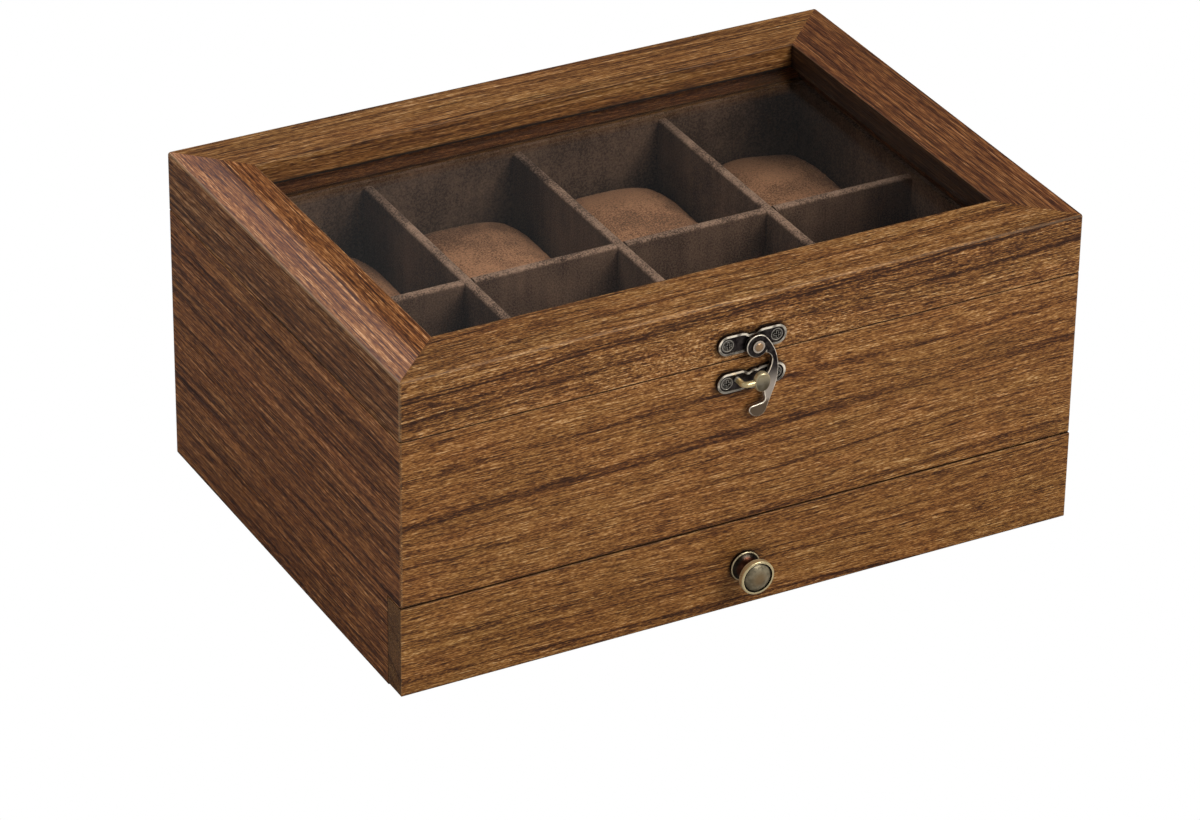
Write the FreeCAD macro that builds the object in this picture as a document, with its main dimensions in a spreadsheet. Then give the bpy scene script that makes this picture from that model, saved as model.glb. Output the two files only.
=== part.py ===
import FreeCAD, Part
import Sketcher
import math
import os

# Watch box with a glazed lid, eight compartments with pillows and a drawer below.
# Millimetres. +X runs to the right, +Y to the back, +Z up. The origin is the middle of the underside.

document = FreeCAD.newDocument("watch_box")
sheet = document.addObject("Spreadsheet::Sheet", "sizes")

# Driving dimensions: name, value, what it measures
driving_sizes = [
    ("box_width", 270, "outside, left to right"),
    ("box_depth", 190, "outside, front to back"),
    ("wall", 12, "thickness of the case and lid walls"),
    ("corner_round", 1.2, "rounding of the upright corners"),
    ("top_round", 1.1, "rounding of the top edges of the lid"),
    ("arris", 0.4, "rounding of the edges at the seams and at the foot"),
    ("rim_height", 101.55, "top of the case walls above the ground"),
    ("lid_gap", 0.3, "gap between the case and the lid"),
    ("lid_height", 23.15, "lid, from its lower edge to its top"),
    ("rail_width", 24, "width of the lid rails seen from above"),
    ("lip", 9.4, "thickness of the lid rails over the glass"),
    ("glass_thickness", 2, "pane"),
    ("glass_clearance", 0.5, "pane to rebate, each side"),
    ("bead_width", 3, "glass bead, across"),
    ("bead_rise", 2.25, "glass bead above the lower edge of the lid"),
    ("drawer_front_thickness", 10, "front board of the drawer"),
    ("drawer_foot_gap", 0.6, "drawer front above the ground"),
    ("drawer_front_top", 35.8, "top edge of the drawer front above the ground"),
    ("drawer_top_gap", 0.6, "drawer front to the panel above it"),
    ("drawer_back_gap", 0.3, "drawer front to the notched side panels behind it"),
    ("base_thickness", 4, "board under the drawer"),
    ("shelf_rise", 3, "underside of the shelf above the lower edge of the front panel"),
    ("shelf_thickness", 4, "floor of the watch compartments"),
    ("groove", 3, "depth of the grooves that hold the shelf and the drawer bottom"),
    ("lining", 2, "thickness of the wall linings of the compartments"),
    ("floor_lining", 1.5, "thickness of the floor lining"),
    ("lining_below_rim", 0.65, "top of the linings below the rim"),
    ("divider", 4, "thickness of the dividers"),
    ("divider_round", 1.3, "rounding of the covered top edges of the dividers"),
    ("divider_below_rim", 2.35, "top of the dividers below the rim"),
    ("slot_clearance", 0.1, "halving slots, each side"),
    ("pillow_side_gap", 1.3, "pillow to the compartment walls"),
    ("pillow_height", 34.5, "pillow, from its base to its crown"),
    ("pillow_corner", 9, "corner radius of a pillow seen from above"),
    ("soft_gap", 0.3, "pillow above the floor lining"),
    ("drawer_side_gap", 0.8, "drawer sides to the case walls"),
    ("drawer_rear_gap", 3, "drawer to the back panel"),
    ("drawer_run_gap", 0.3, "drawer above the base board"),
    ("drawer_board", 8, "thickness of the drawer sides and back"),
    ("drawer_board_drop", 3.5, "drawer sides and back below the top of the drawer front"),
    ("drawer_bottom_rise", 2, "drawer bottom above the lower edge of the sides"),
    ("drawer_bottom_thickness", 3, "drawer bottom"),
    ("drawer_lining", 1.5, "thickness of the linings in the drawer"),
    ("drawer_lining_drop", 2, "wall linings below the top of the drawer sides"),
    ("knob_level", 17, "knob axis above the ground"),
    ("knob_foot_radius", 5.8, "flared foot of the knob"),
    ("knob_foot_thickness", 1.5, "edge of the flared foot"),
    ("knob_neck_radius", 2.7, "neck of the knob"),
    ("knob_head_radius", 6.6, "head of the knob"),
    ("knob_head_thickness", 2.4, "edge of the head"),
    ("knob_length", 10.4, "wood to the rim of the head"),
    ("knob_dome", 1.3, "height of the dome on the head"),
    ("knob_rim", 0.85, "width of the raised rim round the dome"),
    ("knob_groove", 0.45, "width and depth of the groove between rim and dome"),
    ("knob_screw_radius", 2, "shank of the screw that holds the knob"),
    ("knob_screw_depth", 5, "screw in the knob"),
    ("knob_screw_head_radius", 3.8, "head of that screw"),
    ("knob_screw_head_height", 2.2, "head of that screw"),
    ("screw_clearance", 0.05, "screws in their holes"),
    ("latch_plate_thickness", 1.3, "both latch plates"),
    ("latch_rim", 0.3, "height of the raised border of the plates"),
    ("latch_rim_width", 0.8, "width of the raised border"),
    ("latch_screw_spacing", 19.4, "between the two screws of a plate"),
    ("latch_lobe_radius", 3.8, "round ends of the plates"),
    ("latch_waist", 2.6, "half height of the plates between the ends"),
    ("plate_belly_drop", 0.4, "round belly of the plates below the rivet or the screws"),
    ("latch_plate_rise", 6.8, "screws of the upper plate above the seam of the lid"),
    ("latch_catch_drop", 8.1, "screws of the lower plate below the seam of the lid"),
    ("latch_screw_radius", 1.1, "shank of the latch screws"),
    ("latch_screw_head_radius", 2.2, "head of the latch screws"),
    ("latch_screw_head_height", 1.1, "countersunk head of the latch screws"),
    ("latch_screw_length", 8, "latch screws in the wood"),
    ("rivet_offset", 1.2, "rivet to the right of the middle"),
    ("rivet_rise", 5, "rivet above the seam of the lid"),
    ("rivet_radius", 1.2, "shank of the rivet"),
    ("rivet_head_radius", 2.3, "head of the rivet"),
    ("rivet_head_height", 1.1, "head of the rivet"),
    ("rivet_flange", 0.7, "width of the flat border of the rivet head"),
    ("running_clearance", 0.05, "shafts that turn in their holes"),
    ("hook_play", 0.2, "hook in front of the plate and behind the rivet head"),
    ("hook_thickness", 1.6, "hook"),
    ("hook_eye_radius", 4.4, "eye of the hook"),
    ("hook_reach", 28, "rivet to the lowest point of the hook"),
    ("hook_bulge", 8.3, "rivet to the outermost point of the arm"),
    ("hook_arm", 2.5, "width of the arm at its narrowest"),
    ("hook_tip_radius", 2.3, "round end of the hook"),
    ("finger_radius", 1.1, "finger that carries the head of the catch"),
    ("finger_offset", 7, "root of the finger to the left of the rivet"),
    ("catch_head_width", 6.2, "head of the catch"),
    ("catch_head_height", 7.6, "head of the catch"),
    ("catch_head_thickness", 2.8, "head of the catch"),
    ("catch_head_clearance", 1.6, "hook to the back of the head"),
    ("catch_head_drop", 7.3, "middle of the head below the seam of the lid"),
    ("hinge_inset", 55, "middle of a hinge from the side of the box"),
    ("hinge_length", 34, "hinge, along the back edge"),
    ("hinge_leaf_depth", 10, "leaf, from the back face into the rim"),
    ("hinge_leaf_thickness", 1.2, "leaf"),
    ("hinge_barrel_radius", 2.2, "barrel"),
    ("hinge_proud", 2.3, "barrel axis behind the back face"),
    ("hinge_pin_radius", 1, "hinge pin"),
    ("hinge_pin_head", 0.7, "domed ends of the hinge pin"),
    ("hinge_end_gap", 0.15, "between neighbouring knuckles"),
    ("hinge_screw_spacing", 11, "between the screws of a leaf"),
    ("hinge_screw_radius", 0.9, "shank of the hinge screws"),
    ("hinge_screw_head_radius", 1.8, "countersunk head of the hinge screws"),
    ("hinge_screw_head_height", 0.9, "countersunk head of the hinge screws"),
    ("hinge_screw_crown", 0.05, "hinge screw heads above the leaf"),
    ("hinge_screw_length", 9, "hinge screws"),
]
for row, (alias, number, meaning) in enumerate(driving_sizes, start=1):
    sheet.set("A%d" % row, meaning)
    sheet.set("B%d" % row, str(number))
    sheet.setAlias("B%d" % row, alias)
document.recompute()


def size(alias):
    """The value of one driving dimension."""
    return float(getattr(sheet, alias))


# Levels and faces that several pieces share, as expressions on the sheet
half_width = "sizes.box_width/2"
half_depth = "sizes.box_depth/2"
inner_x = "(sizes.box_width/2 - sizes.wall)"
inner_y = "(sizes.box_depth/2 - sizes.wall)"
rim = "sizes.rim_height"
lid_bottom = "(sizes.rim_height + sizes.lid_gap)"
lid_top = "(sizes.rim_height + sizes.lid_gap + sizes.lid_height)"
lip_bottom = "(%s - sizes.lip)" % lid_top
glass_bottom = "(%s - sizes.lip - sizes.glass_thickness)" % lid_top
front_panel_bottom = "(sizes.drawer_front_top + sizes.drawer_top_gap)"
drawer_front_back = "(-sizes.box_depth/2 + sizes.drawer_front_thickness)"
notch_back = "(-sizes.box_depth/2 + sizes.drawer_front_thickness + sizes.drawer_back_gap)"
shelf_bottom = "(sizes.drawer_front_top + sizes.drawer_top_gap + sizes.shelf_rise)"
shelf_top = "(sizes.drawer_front_top + sizes.drawer_top_gap + sizes.shelf_rise + sizes.shelf_thickness)"
lining_top = "(sizes.rim_height - sizes.lining_below_rim)"
floor_top = "(%s + sizes.floor_lining)" % shelf_top
divider_top = "(sizes.rim_height - sizes.divider_below_rim)"
room_x = "(sizes.box_width/2 - sizes.wall - sizes.lining)"
room_y = "(sizes.box_depth/2 - sizes.wall - sizes.lining)"
column = "((sizes.box_width - 2*sizes.wall - 2*sizes.lining + sizes.divider)/4)"
drawer_x = "(sizes.box_width/2 - sizes.wall - sizes.drawer_side_gap)"
drawer_inner_x = "(sizes.box_width/2 - sizes.wall - sizes.drawer_side_gap - sizes.drawer_board)"
drawer_rear = "(sizes.box_depth/2 - sizes.wall - sizes.drawer_rear_gap)"
drawer_inner_rear = "(sizes.box_depth/2 - sizes.wall - sizes.drawer_rear_gap - sizes.drawer_board)"
drawer_low = "(sizes.base_thickness + sizes.drawer_run_gap)"
drawer_high = "(sizes.drawer_front_top - sizes.drawer_board_drop)"
drawer_bottom_low = "(sizes.base_thickness + sizes.drawer_run_gap + sizes.drawer_bottom_rise)"
drawer_floor = "(sizes.base_thickness + sizes.drawer_run_gap + sizes.drawer_bottom_rise" \
               " + sizes.drawer_bottom_thickness)"
seam = "(sizes.rim_height + sizes.lid_gap/2)"

sub_parts = []


def keep(piece, label):
    """Take an object of the document into the list of sub-parts under its own name."""
    piece.Label = label
    sub_parts.append(piece)
    return piece


# Bodies: outlines on the origin planes, slabs and cuts between two levels
def new_body(name):
    return document.addObject("PartDesign::Body", name)


def attach(sketch, body, role, level):
    """Put a sketch on the body's own origin plane, at a level along the axis of that plane."""
    planes = [feature for feature in body.Origin.OriginFeatures if feature.Role == role]
    sketch.AttachmentSupport = [(planes[0], "")]
    sketch.MapMode = "FlatFace"
    against_axis = role == "XZ_Plane"
    sketch.setExpression("AttachmentOffset.Base.z", "-(%s)" % level if against_axis else level)


def outline(body, role, level, corners):
    """Closed outline of straight lines; each corner is a pair of expressions."""
    sketch = body.newObject("Sketcher::SketchObject", "outline")
    attach(sketch, body, role, level)
    count = len(corners)
    start = [FreeCAD.Vector(math.cos(2*math.pi*k/count), math.sin(2*math.pi*k/count), 0) for k in range(count)]
    for k in range(count):
        sketch.addGeometry(Part.LineSegment(start[k], start[(k + 1) % count]), False)
    for k in range(count):
        sketch.addConstraint(Sketcher.Constraint("Coincident", k, 2, (k + 1) % count, 1))
    for k in range(count):
        for kind, place, expression in (("DistanceX", start[k].x, corners[k][0]),
                                        ("DistanceY", start[k].y, corners[k][1])):
            number = sketch.addConstraint(Sketcher.Constraint(kind, -1, 1, k, 1, place))
            sketch.setExpression("Constraints[%d]" % number, expression)
    return sketch


def rings(body, role, level, circles):
    """Circles; each one is a triple of expressions: across, up, radius."""
    sketch = body.newObject("Sketcher::SketchObject", "rings")
    attach(sketch, body, role, level)
    for k, (across, up, radius) in enumerate(circles):
        sketch.addGeometry(Part.Circle(FreeCAD.Vector(k, k, 0), FreeCAD.Vector(0, 0, 1), 1), False)
        for constraint, expression in ((Sketcher.Constraint("DistanceX", -1, 1, k, 3, k), across),
                                       (Sketcher.Constraint("DistanceY", -1, 1, k, 3, k), up),
                                       (Sketcher.Constraint("Radius", k, 1), radius)):
            number = sketch.addConstraint(constraint)
            sketch.setExpression("Constraints[%d]" % number, expression)
    return sketch


def rectangle(x_low, x_high, y_low, y_high):
    return [(x_low, y_low), (x_high, y_low), (x_high, y_high), (x_low, y_high)]


def pad(body, role, low, high, profile, draw=outline):
    """Material between two levels along the axis of the plane."""
    start = high if role == "XZ_Plane" else low
    sketch = draw(body, role, start, profile)
    feature = body.newObject("PartDesign::Pad", "pad")
    feature.Profile = sketch
    feature.setExpression("Length", "(%s) - (%s)" % (high, low))
    document.recompute()
    return feature


def cut(body, role, low, high, profile, draw=outline):
    """A pocket between two levels; it has to take material away."""
    before = body.Shape.Volume
    start = low if role == "XZ_Plane" else high
    sketch = draw(body, role, start, profile)
    feature = body.newObject("PartDesign::Pocket", "pocket")
    feature.Profile = sketch
    feature.setExpression("Length", "(%s) - (%s)" % (high, low))
    document.recompute()
    if body.Shape.Volume > before - 1e-6:
        raise ValueError("a pocket in %s cuts nothing" % body.Label)
    return feature


def round_edges(body, radius, wanted):
    """Fillet the edges whose middle and direction the test wants."""
    names = []
    for number, edge in enumerate(body.Shape.Edges, start=1):
        middle = edge.valueAt((edge.FirstParameter + edge.LastParameter)/2)
        along = edge.tangentAt((edge.FirstParameter + edge.LastParameter)/2)
        if wanted(middle, along):
            names.append("Edge%d" % number)
    base = body.Tip
    feature = body.newObject("PartDesign::Fillet", "fillet")
    feature.Base = (base, names)
    feature.setExpression("Radius", radius)
    document.recompute()
    return feature


def box(label, x_low, x_high, y_low, y_high, z_low, z_high):
    """A plain board as a primitive, with all six faces bound to the sheet."""
    piece = document.addObject("Part::Box", label)
    for side, low, high in (("Length", x_low, x_high), ("Width", y_low, y_high), ("Height", z_low, z_high)):
        piece.setExpression(side, "(%s) - (%s)" % (high, low))
    for axis, low in (("x", x_low), ("y", y_low), ("z", z_low)):
        piece.setExpression("Placement.Base.%s" % axis, low)
    return piece


# Envelopes: the rounded outside of the case and of the lid, which trims their boards
def envelope(name, low, high, top_radius, bottom_radius):
    block = box(name + "_block", "-" + half_width, half_width, "-" + half_depth, half_depth, low, high)
    document.recompute()
    upright = document.addObject("Part::Fillet", name + "_upright")
    upright.Base = block
    edges = block.Shape.Edges
    upright.Edges = [(k + 1, size("corner_round"), size("corner_round")) for k in range(len(edges))
                     if abs(edges[k].tangentAt(edges[k].FirstParameter).z) > 0.5]
    document.recompute()
    rounded = document.addObject("Part::Fillet", name)
    rounded.Base = upright
    bounds = upright.Shape.BoundBox
    chosen = []
    for k, edge in enumerate(upright.Shape.Edges):
        heights = (edge.BoundBox.ZMin, edge.BoundBox.ZMax)
        if heights[0] > bounds.ZMax - 0.01:
            chosen.append((k + 1, size(top_radius), size(top_radius)))
        elif heights[1] < bounds.ZMin + 0.01:
            chosen.append((k + 1, size(bottom_radius), size(bottom_radius)))
    rounded.Edges = chosen
    document.recompute()
    return rounded


case_envelope = envelope("case_envelope", "0", rim, "arris", "arris")
lid_envelope = envelope("lid_envelope", lid_bottom, lid_top, "top_round", "arris")


def trimmed(body, label, outside):
    """The board as it stands within the rounded outside."""
    piece = document.addObject("Part::Common", label)
    piece.Base = body
    piece.Tool = outside
    document.recompute()
    return keep(piece, label)


def mitred(side, width):
    """Plan of a wall or rail with mitred ends, as wide as given; side is front, back, left or right."""
    outer_x, outer_y = half_width, half_depth
    in_x = "(sizes.box_width/2 - %s)" % width
    in_y = "(sizes.box_depth/2 - %s)" % width
    if side in ("front", "back"):
        sign = "-" if side == "front" else ""
        return [("-" + outer_x, sign + outer_y), (outer_x, sign + outer_y),
                (in_x, sign + in_y), ("-" + in_x, sign + in_y)]
    sign = "-" if side == "left" else ""
    return [(sign + outer_x, "-" + outer_y), (sign + outer_x, outer_y),
            (sign + in_x, in_y), (sign + in_x, "-" + in_y)]


shelf_plan = rectangle("-(%s + sizes.groove)" % inner_x, "%s + sizes.groove" % inner_x,
                       "-(%s + sizes.groove)" % inner_y, "%s + sizes.groove" % inner_y)
latch_screws_x = ("-sizes.latch_screw_spacing/2", "sizes.latch_screw_spacing/2")
latch_hole = "(sizes.latch_screw_radius + sizes.screw_clearance)"
hinge_hole = "(sizes.hinge_screw_radius + sizes.screw_clearance)"
hinge_screws_x = ["%s*(sizes.box_width/2 - sizes.hinge_inset) + %s*sizes.hinge_screw_spacing" % (side, place)
                  for side in ("-1", "1") for place in ("-1", "0", "1")]
leaf_front = "(sizes.box_depth/2 - sizes.hinge_leaf_depth)"
hinge_screw_y = "(sizes.box_depth/2 - sizes.hinge_leaf_depth/2)"


def let_in_hinges(body, low, high, into_low, into_high):
    """Recesses for the hinge leaves and pilot holes for their screws."""
    for side in ("-1", "1"):
        left = "%s*(sizes.box_width/2 - sizes.hinge_inset) - sizes.hinge_length/2 - sizes.screw_clearance" % side
        right = "%s*(sizes.box_width/2 - sizes.hinge_inset) + sizes.hinge_length/2 + sizes.screw_clearance" % side
        cut(body, "XY_Plane", low, high,
            rectangle(left, right, leaf_front + " - sizes.screw_clearance", half_depth))
    cut(body, "XY_Plane", into_low, into_high,
        [(place, hinge_screw_y, hinge_hole) for place in hinge_screws_x], rings)


# Case walls
def case_side(label, side):
    body = new_body(label + "_body")
    pad(body, "XY_Plane", "0", rim, mitred(side, "sizes.wall"))
    sign = "-" if side == "left" else ""
    cut(body, "XY_Plane", "0", front_panel_bottom,
        rectangle(sign + inner_x, sign + half_width, "-" + half_depth, notch_back))
    cut(body, "XY_Plane", shelf_bottom, shelf_top, shelf_plan)
    return trimmed(body, label, case_envelope)


def case_front(label):
    body = new_body(label + "_body")
    pad(body, "XY_Plane", front_panel_bottom, rim, mitred("front", "sizes.wall"))
    front_face = -size("box_depth")/2
    foot = size("drawer_front_top") + size("drawer_top_gap")
    round_edges(body, "sizes.arris", lambda middle, along: abs(middle.y - front_face) < 0.01
                and abs(middle.z - foot) < 0.01)
    cut(body, "XY_Plane", shelf_bottom, shelf_top, shelf_plan)
    cut(body, "XZ_Plane", "-" + half_depth, "-%s + sizes.latch_screw_length" % half_depth,
        [(place, seam + " - sizes.latch_catch_drop", latch_hole) for place in latch_screws_x], rings)
    return trimmed(body, label, case_envelope)


def case_back(label):
    body = new_body(label + "_body")
    pad(body, "XY_Plane", "0", rim, mitred("back", "sizes.wall"))
    cut(body, "XY_Plane", shelf_bottom, shelf_top, shelf_plan)
    let_in_hinges(body, rim + " - sizes.hinge_leaf_thickness", rim,
                  rim + " - sizes.hinge_screw_length - sizes.screw_clearance",
                  rim + " - sizes.hinge_leaf_thickness")
    return trimmed(body, label, case_envelope)


case_side("side_panel_left", "left")
case_side("side_panel_right", "right")
case_front("front_panel")
case_back("back_panel")


# Shelf and base
def shelf():
    body = new_body("shelf_body")
    pad(body, "XY_Plane", shelf_bottom, shelf_top, shelf_plan)
    return keep(body, "shelf")


shelf()
keep(box("base_panel", "-" + inner_x, inner_x, notch_back, inner_y, "0", "sizes.base_thickness"), "base_panel")

# Linings of the watch compartments
keep(box("lining_front", "-" + inner_x, inner_x, "-" + inner_y, "-" + room_y, shelf_top, lining_top), "lining_front")
keep(box("lining_back", "-" + inner_x, inner_x, room_y, inner_y, shelf_top, lining_top), "lining_back")
keep(box("lining_left", "-" + inner_x, "-" + room_x, "-" + room_y, room_y, shelf_top, lining_top), "lining_left")
keep(box("lining_right", room_x, inner_x, "-" + room_y, room_y, shelf_top, lining_top), "lining_right")
keep(box("lining_floor", "-" + room_x, room_x, "-" + room_y, room_y, shelf_top, floor_top), "lining_floor")

# Dividers, halved into each other: the long one is slotted from above, the cross ones from below
half_slot = "(sizes.divider/2 + sizes.slot_clearance)"
slot_level = "(%s + (%s - %s)/2)" % (floor_top, divider_top, floor_top)
cross_names = [("left", "-%s" % column), ("middle", "0*%s" % column), ("right", column)]


def divider_long():
    body = new_body("divider_long_body")
    pad(body, "XY_Plane", floor_top, divider_top,
        rectangle("-" + room_x, room_x, "-sizes.divider/2", "sizes.divider/2"))
    top = size("rim_height") - size("divider_below_rim")
    round_edges(body, "sizes.divider_round", lambda middle, along: abs(middle.z - top) < 0.01 and abs(along.x) > 0.5)
    for side, place in cross_names:
        cut(body, "XY_Plane", slot_level, divider_top,
            rectangle("%s - %s" % (place, half_slot), "%s + %s" % (place, half_slot),
                      "-sizes.divider/2", "sizes.divider/2"))
    return keep(body, "divider_long")


def divider_cross(side, place):
    body = new_body("divider_cross_%s_body" % side)
    pad(body, "XY_Plane", floor_top, divider_top,
        rectangle("%s - sizes.divider/2" % place, "%s + sizes.divider/2" % place, "-" + room_y, room_y))
    top = size("rim_height") - size("divider_below_rim")
    round_edges(body, "sizes.divider_round", lambda middle, along: abs(middle.z - top) < 0.01 and abs(along.y) > 0.5)
    cut(body, "XY_Plane", floor_top, slot_level,
        rectangle("%s - sizes.divider/2" % place, "%s + sizes.divider/2" % place, "-" + half_slot, half_slot))
    return keep(body, "divider_cross_" + side)


divider_long()
for side, place in cross_names:
    divider_cross(side, place)

# Lid rails: a wall with a lip over the glass
lid_latch_holes = [(place, seam + " + sizes.latch_plate_rise", latch_hole) for place in latch_screws_x]


def lid_rail(side):
    body = new_body("lid_rail_%s_body" % side)
    pad(body, "XY_Plane", lid_bottom, lid_top, mitred(side, "sizes.wall"))
    pad(body, "XY_Plane", lip_bottom, lid_top, mitred(side, "sizes.rail_width"))
    top = size("rim_height") + size("lid_gap") + size("lid_height")
    lip_x = size("box_width")/2 - size("rail_width")
    lip_y = size("box_depth")/2 - size("rail_width")
    round_edges(body, "sizes.arris", lambda middle, along: abs(middle.z - top) < 0.01
                and (abs(abs(middle.x) - lip_x) < 0.01 or abs(abs(middle.y) - lip_y) < 0.01)
                and abs(along.x*along.y) < 0.01)
    if side == "front":
        cut(body, "XZ_Plane", "-" + half_depth, "-%s + sizes.latch_screw_length" % half_depth,
            lid_latch_holes, rings)
    if side == "back":
        let_in_hinges(body, lid_bottom, lid_bottom + " + sizes.hinge_leaf_thickness",
                      lid_bottom + " + sizes.hinge_leaf_thickness",
                      lid_bottom + " + sizes.hinge_screw_length + sizes.screw_clearance")
    return trimmed(body, "lid_rail_" + side, lid_envelope)


for side in ("front", "back", "left", "right"):
    lid_rail(side)

# Glass pane under the lip, and the beads that hold it
pane_x = "(%s - sizes.glass_clearance)" % inner_x
pane_y = "(%s - sizes.glass_clearance)" % inner_y
keep(box("lid_glass", "-" + pane_x, pane_x, "-" + pane_y, pane_y, glass_bottom, lip_bottom), "lid_glass")


def glass_bead(side):
    """Mitred strip against the inside of the lid wall."""
    in_x = "(%s - sizes.bead_width)" % inner_x
    in_y = "(%s - sizes.bead_width)" % inner_y
    if side in ("front", "back"):
        sign = "-" if side == "front" else ""
        plan = [("-" + inner_x, sign + inner_y), (inner_x, sign + inner_y),
                (in_x, sign + in_y), ("-" + in_x, sign + in_y)]
    else:
        sign = "-" if side == "left" else ""
        plan = [(sign + inner_x, "-" + inner_y), (sign + inner_x, inner_y),
                (sign + in_x, in_y), (sign + in_x, "-" + in_y)]
    body = new_body("glass_bead_%s_body" % side)
    pad(body, "XY_Plane", lid_bottom + " + sizes.bead_rise", glass_bottom, plan)
    foot = size("rim_height") + size("lid_gap") + size("bead_rise")
    bead_x = size("box_width")/2 - size("wall") - size("bead_width")
    bead_y = size("box_depth")/2 - size("wall") - size("bead_width")
    round_edges(body, "sizes.arris", lambda middle, along: abs(middle.z - foot) < 0.01
                and (abs(abs(middle.x) - bead_x) < 0.01 or abs(abs(middle.y) - bead_y) < 0.01)
                and abs(along.x*along.y) < 0.01)
    return keep(body, "glass_bead_" + side)


for side in ("front", "back", "left", "right"):
    glass_bead(side)


# Drawer
def drawer_front():
    body = new_body("drawer_front_body")
    pad(body, "XZ_Plane", "-" + half_depth, drawer_front_back,
        rectangle("-" + half_width, half_width, "sizes.drawer_foot_gap", "sizes.drawer_front_top"))
    back_face = -size("box_depth")/2 + size("drawer_front_thickness")
    round_edges(body, "sizes.arris", lambda middle, along: middle.y < back_face - 0.01)
    cut(body, "XZ_Plane", "-" + half_depth, drawer_front_back,
        [("0", "sizes.knob_level", "sizes.knob_screw_radius + sizes.screw_clearance")], rings)
    cut(body, "XZ_Plane", drawer_front_back + " - sizes.knob_screw_head_height - sizes.screw_clearance",
        drawer_front_back, [("0", "sizes.knob_level", "sizes.knob_screw_head_radius + sizes.screw_clearance")], rings)
    return keep(body, "drawer_front")


drawer_bottom_plan = rectangle("-(%s + sizes.groove)" % drawer_inner_x, "%s + sizes.groove" % drawer_inner_x,
                               drawer_front_back, "%s + sizes.groove" % drawer_inner_rear)


def drawer_side(side):
    sign = "-" if side == "left" else ""
    body = new_body("drawer_side_%s_body" % side)
    pad(body, "XY_Plane", drawer_low, drawer_high,
        rectangle(sign + drawer_inner_x, sign + drawer_x, drawer_front_back, drawer_rear))
    cut(body, "XY_Plane", drawer_bottom_low, drawer_floor, drawer_bottom_plan)
    top = size("drawer_front_top") - size("drawer_board_drop")
    round_edges(body, "sizes.arris", lambda middle, along: abs(middle.z - top) < 0.01 and abs(along.y) > 0.5)
    return keep(body, "drawer_side_" + side)


def drawer_back():
    body = new_body("drawer_back_body")
    pad(body, "XY_Plane", drawer_low, drawer_high,
        rectangle("-" + drawer_inner_x, drawer_inner_x, drawer_inner_rear, drawer_rear))
    cut(body, "XY_Plane", drawer_bottom_low, drawer_floor, drawer_bottom_plan)
    return keep(body, "drawer_back")


def drawer_bottom():
    body = new_body("drawer_bottom_body")
    pad(body, "XY_Plane", drawer_bottom_low, drawer_floor, drawer_bottom_plan)
    return keep(body, "drawer_bottom")


drawer_front()
for side in ("left", "right"):
    drawer_side(side)
drawer_back()
drawer_bottom()

# Linings of the drawer
tray_x = "(%s - sizes.drawer_lining)" % drawer_inner_x
tray_front = "(%s + sizes.drawer_lining)" % drawer_front_back
tray_rear = "(%s - sizes.drawer_lining)" % drawer_inner_rear
tray_top = "(%s - sizes.drawer_lining_drop)" % drawer_high
keep(box("drawer_lining_floor", "-" + tray_x, tray_x, tray_front, tray_rear,
         drawer_floor, drawer_floor + " + sizes.drawer_lining"), "drawer_lining_floor")
keep(box("drawer_lining_front", "-" + drawer_inner_x, drawer_inner_x, drawer_front_back, tray_front,
         drawer_floor, tray_top), "drawer_lining_front")
keep(box("drawer_lining_back", "-" + drawer_inner_x, drawer_inner_x, tray_rear, drawer_inner_rear,
         drawer_floor, tray_top), "drawer_lining_back")
keep(box("drawer_lining_left", "-" + drawer_inner_x, "-" + tray_x, tray_front, tray_rear,
         drawer_floor, tray_top), "drawer_lining_left")
keep(box("drawer_lining_right", tray_x, drawer_inner_x, tray_front, tray_rear,
         drawer_floor, tray_top), "drawer_lining_right")


# Turned pieces: a closed profile of (radius, height) stretches, turned about the upright axis
def turned(stretches):
    """Each stretch is a line of two points or an arc of three points; the last one closes on the first."""
    edges = []
    for stretch in stretches:
        points = [FreeCAD.Vector(radius, 0, height) for radius, height in stretch]
        curve = Part.LineSegment(*points) if len(points) == 2 else Part.Arc(*points)
        edges.append(curve.toShape())
    face = Part.Face(Part.Wire(edges))
    return face.revolve(FreeCAD.Vector(0, 0, 0), FreeCAD.Vector(0, 0, 1), 360)


def cap(radius, base, rise):
    """Three points of the arc of a spherical cap, from its edge to its top on the axis."""
    sphere = (radius**2 + rise**2)/(2*rise)
    middle = base + rise - sphere
    half_angle = math.asin(radius/abs(sphere))/2
    return [(radius, base), (abs(sphere)*math.sin(half_angle), middle + sphere*math.cos(half_angle)),
            (0, base + rise)]


def shaped(label, shape, placement=None):
    """A sub-part whose shape is worked out here from the sheet."""
    piece = document.addObject("Part::Feature", label)
    piece.Shape = shape
    if placement is not None:
        piece.Placement = placement
    return keep(piece, label)


def pointing_forward(x, y, z):
    """Turns the upright axis of a turned piece to point out of the front, at a place."""
    return FreeCAD.Placement(FreeCAD.Vector(x, y, z), FreeCAD.Rotation(FreeCAD.Vector(1, 0, 0), 90))


def cylinder(radius, low, high):
    return Part.makeCylinder(radius, high - low, FreeCAD.Vector(0, 0, low))


def recess(width, reach, depth, top):
    """Cross recess of a screw head: two bars that reach down from the top."""
    bars = [Part.makeBox(2*reach, width, depth, FreeCAD.Vector(-reach, -width/2, top - depth)),
            Part.makeBox(width, 2*reach, depth, FreeCAD.Vector(-width/2, -reach, top - depth))]
    return bars[0].fuse(bars[1])


def countersunk(shank, head, head_height, length, crown):
    """A screw that points down: crowned head at the top, cone, shank with a pointed end."""
    tip = shank
    profile = [[(0, -length), (shank, -length + tip)],
               [(shank, -length + tip), (shank, -head_height)],
               [(shank, -head_height), (head, 0)],
               cap(head, 0, crown),
               [(0, crown), (0, -length)]]
    return turned(profile).cut(recess(head*0.26, head*0.62, head_height*0.7 + crown, crown))


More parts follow.
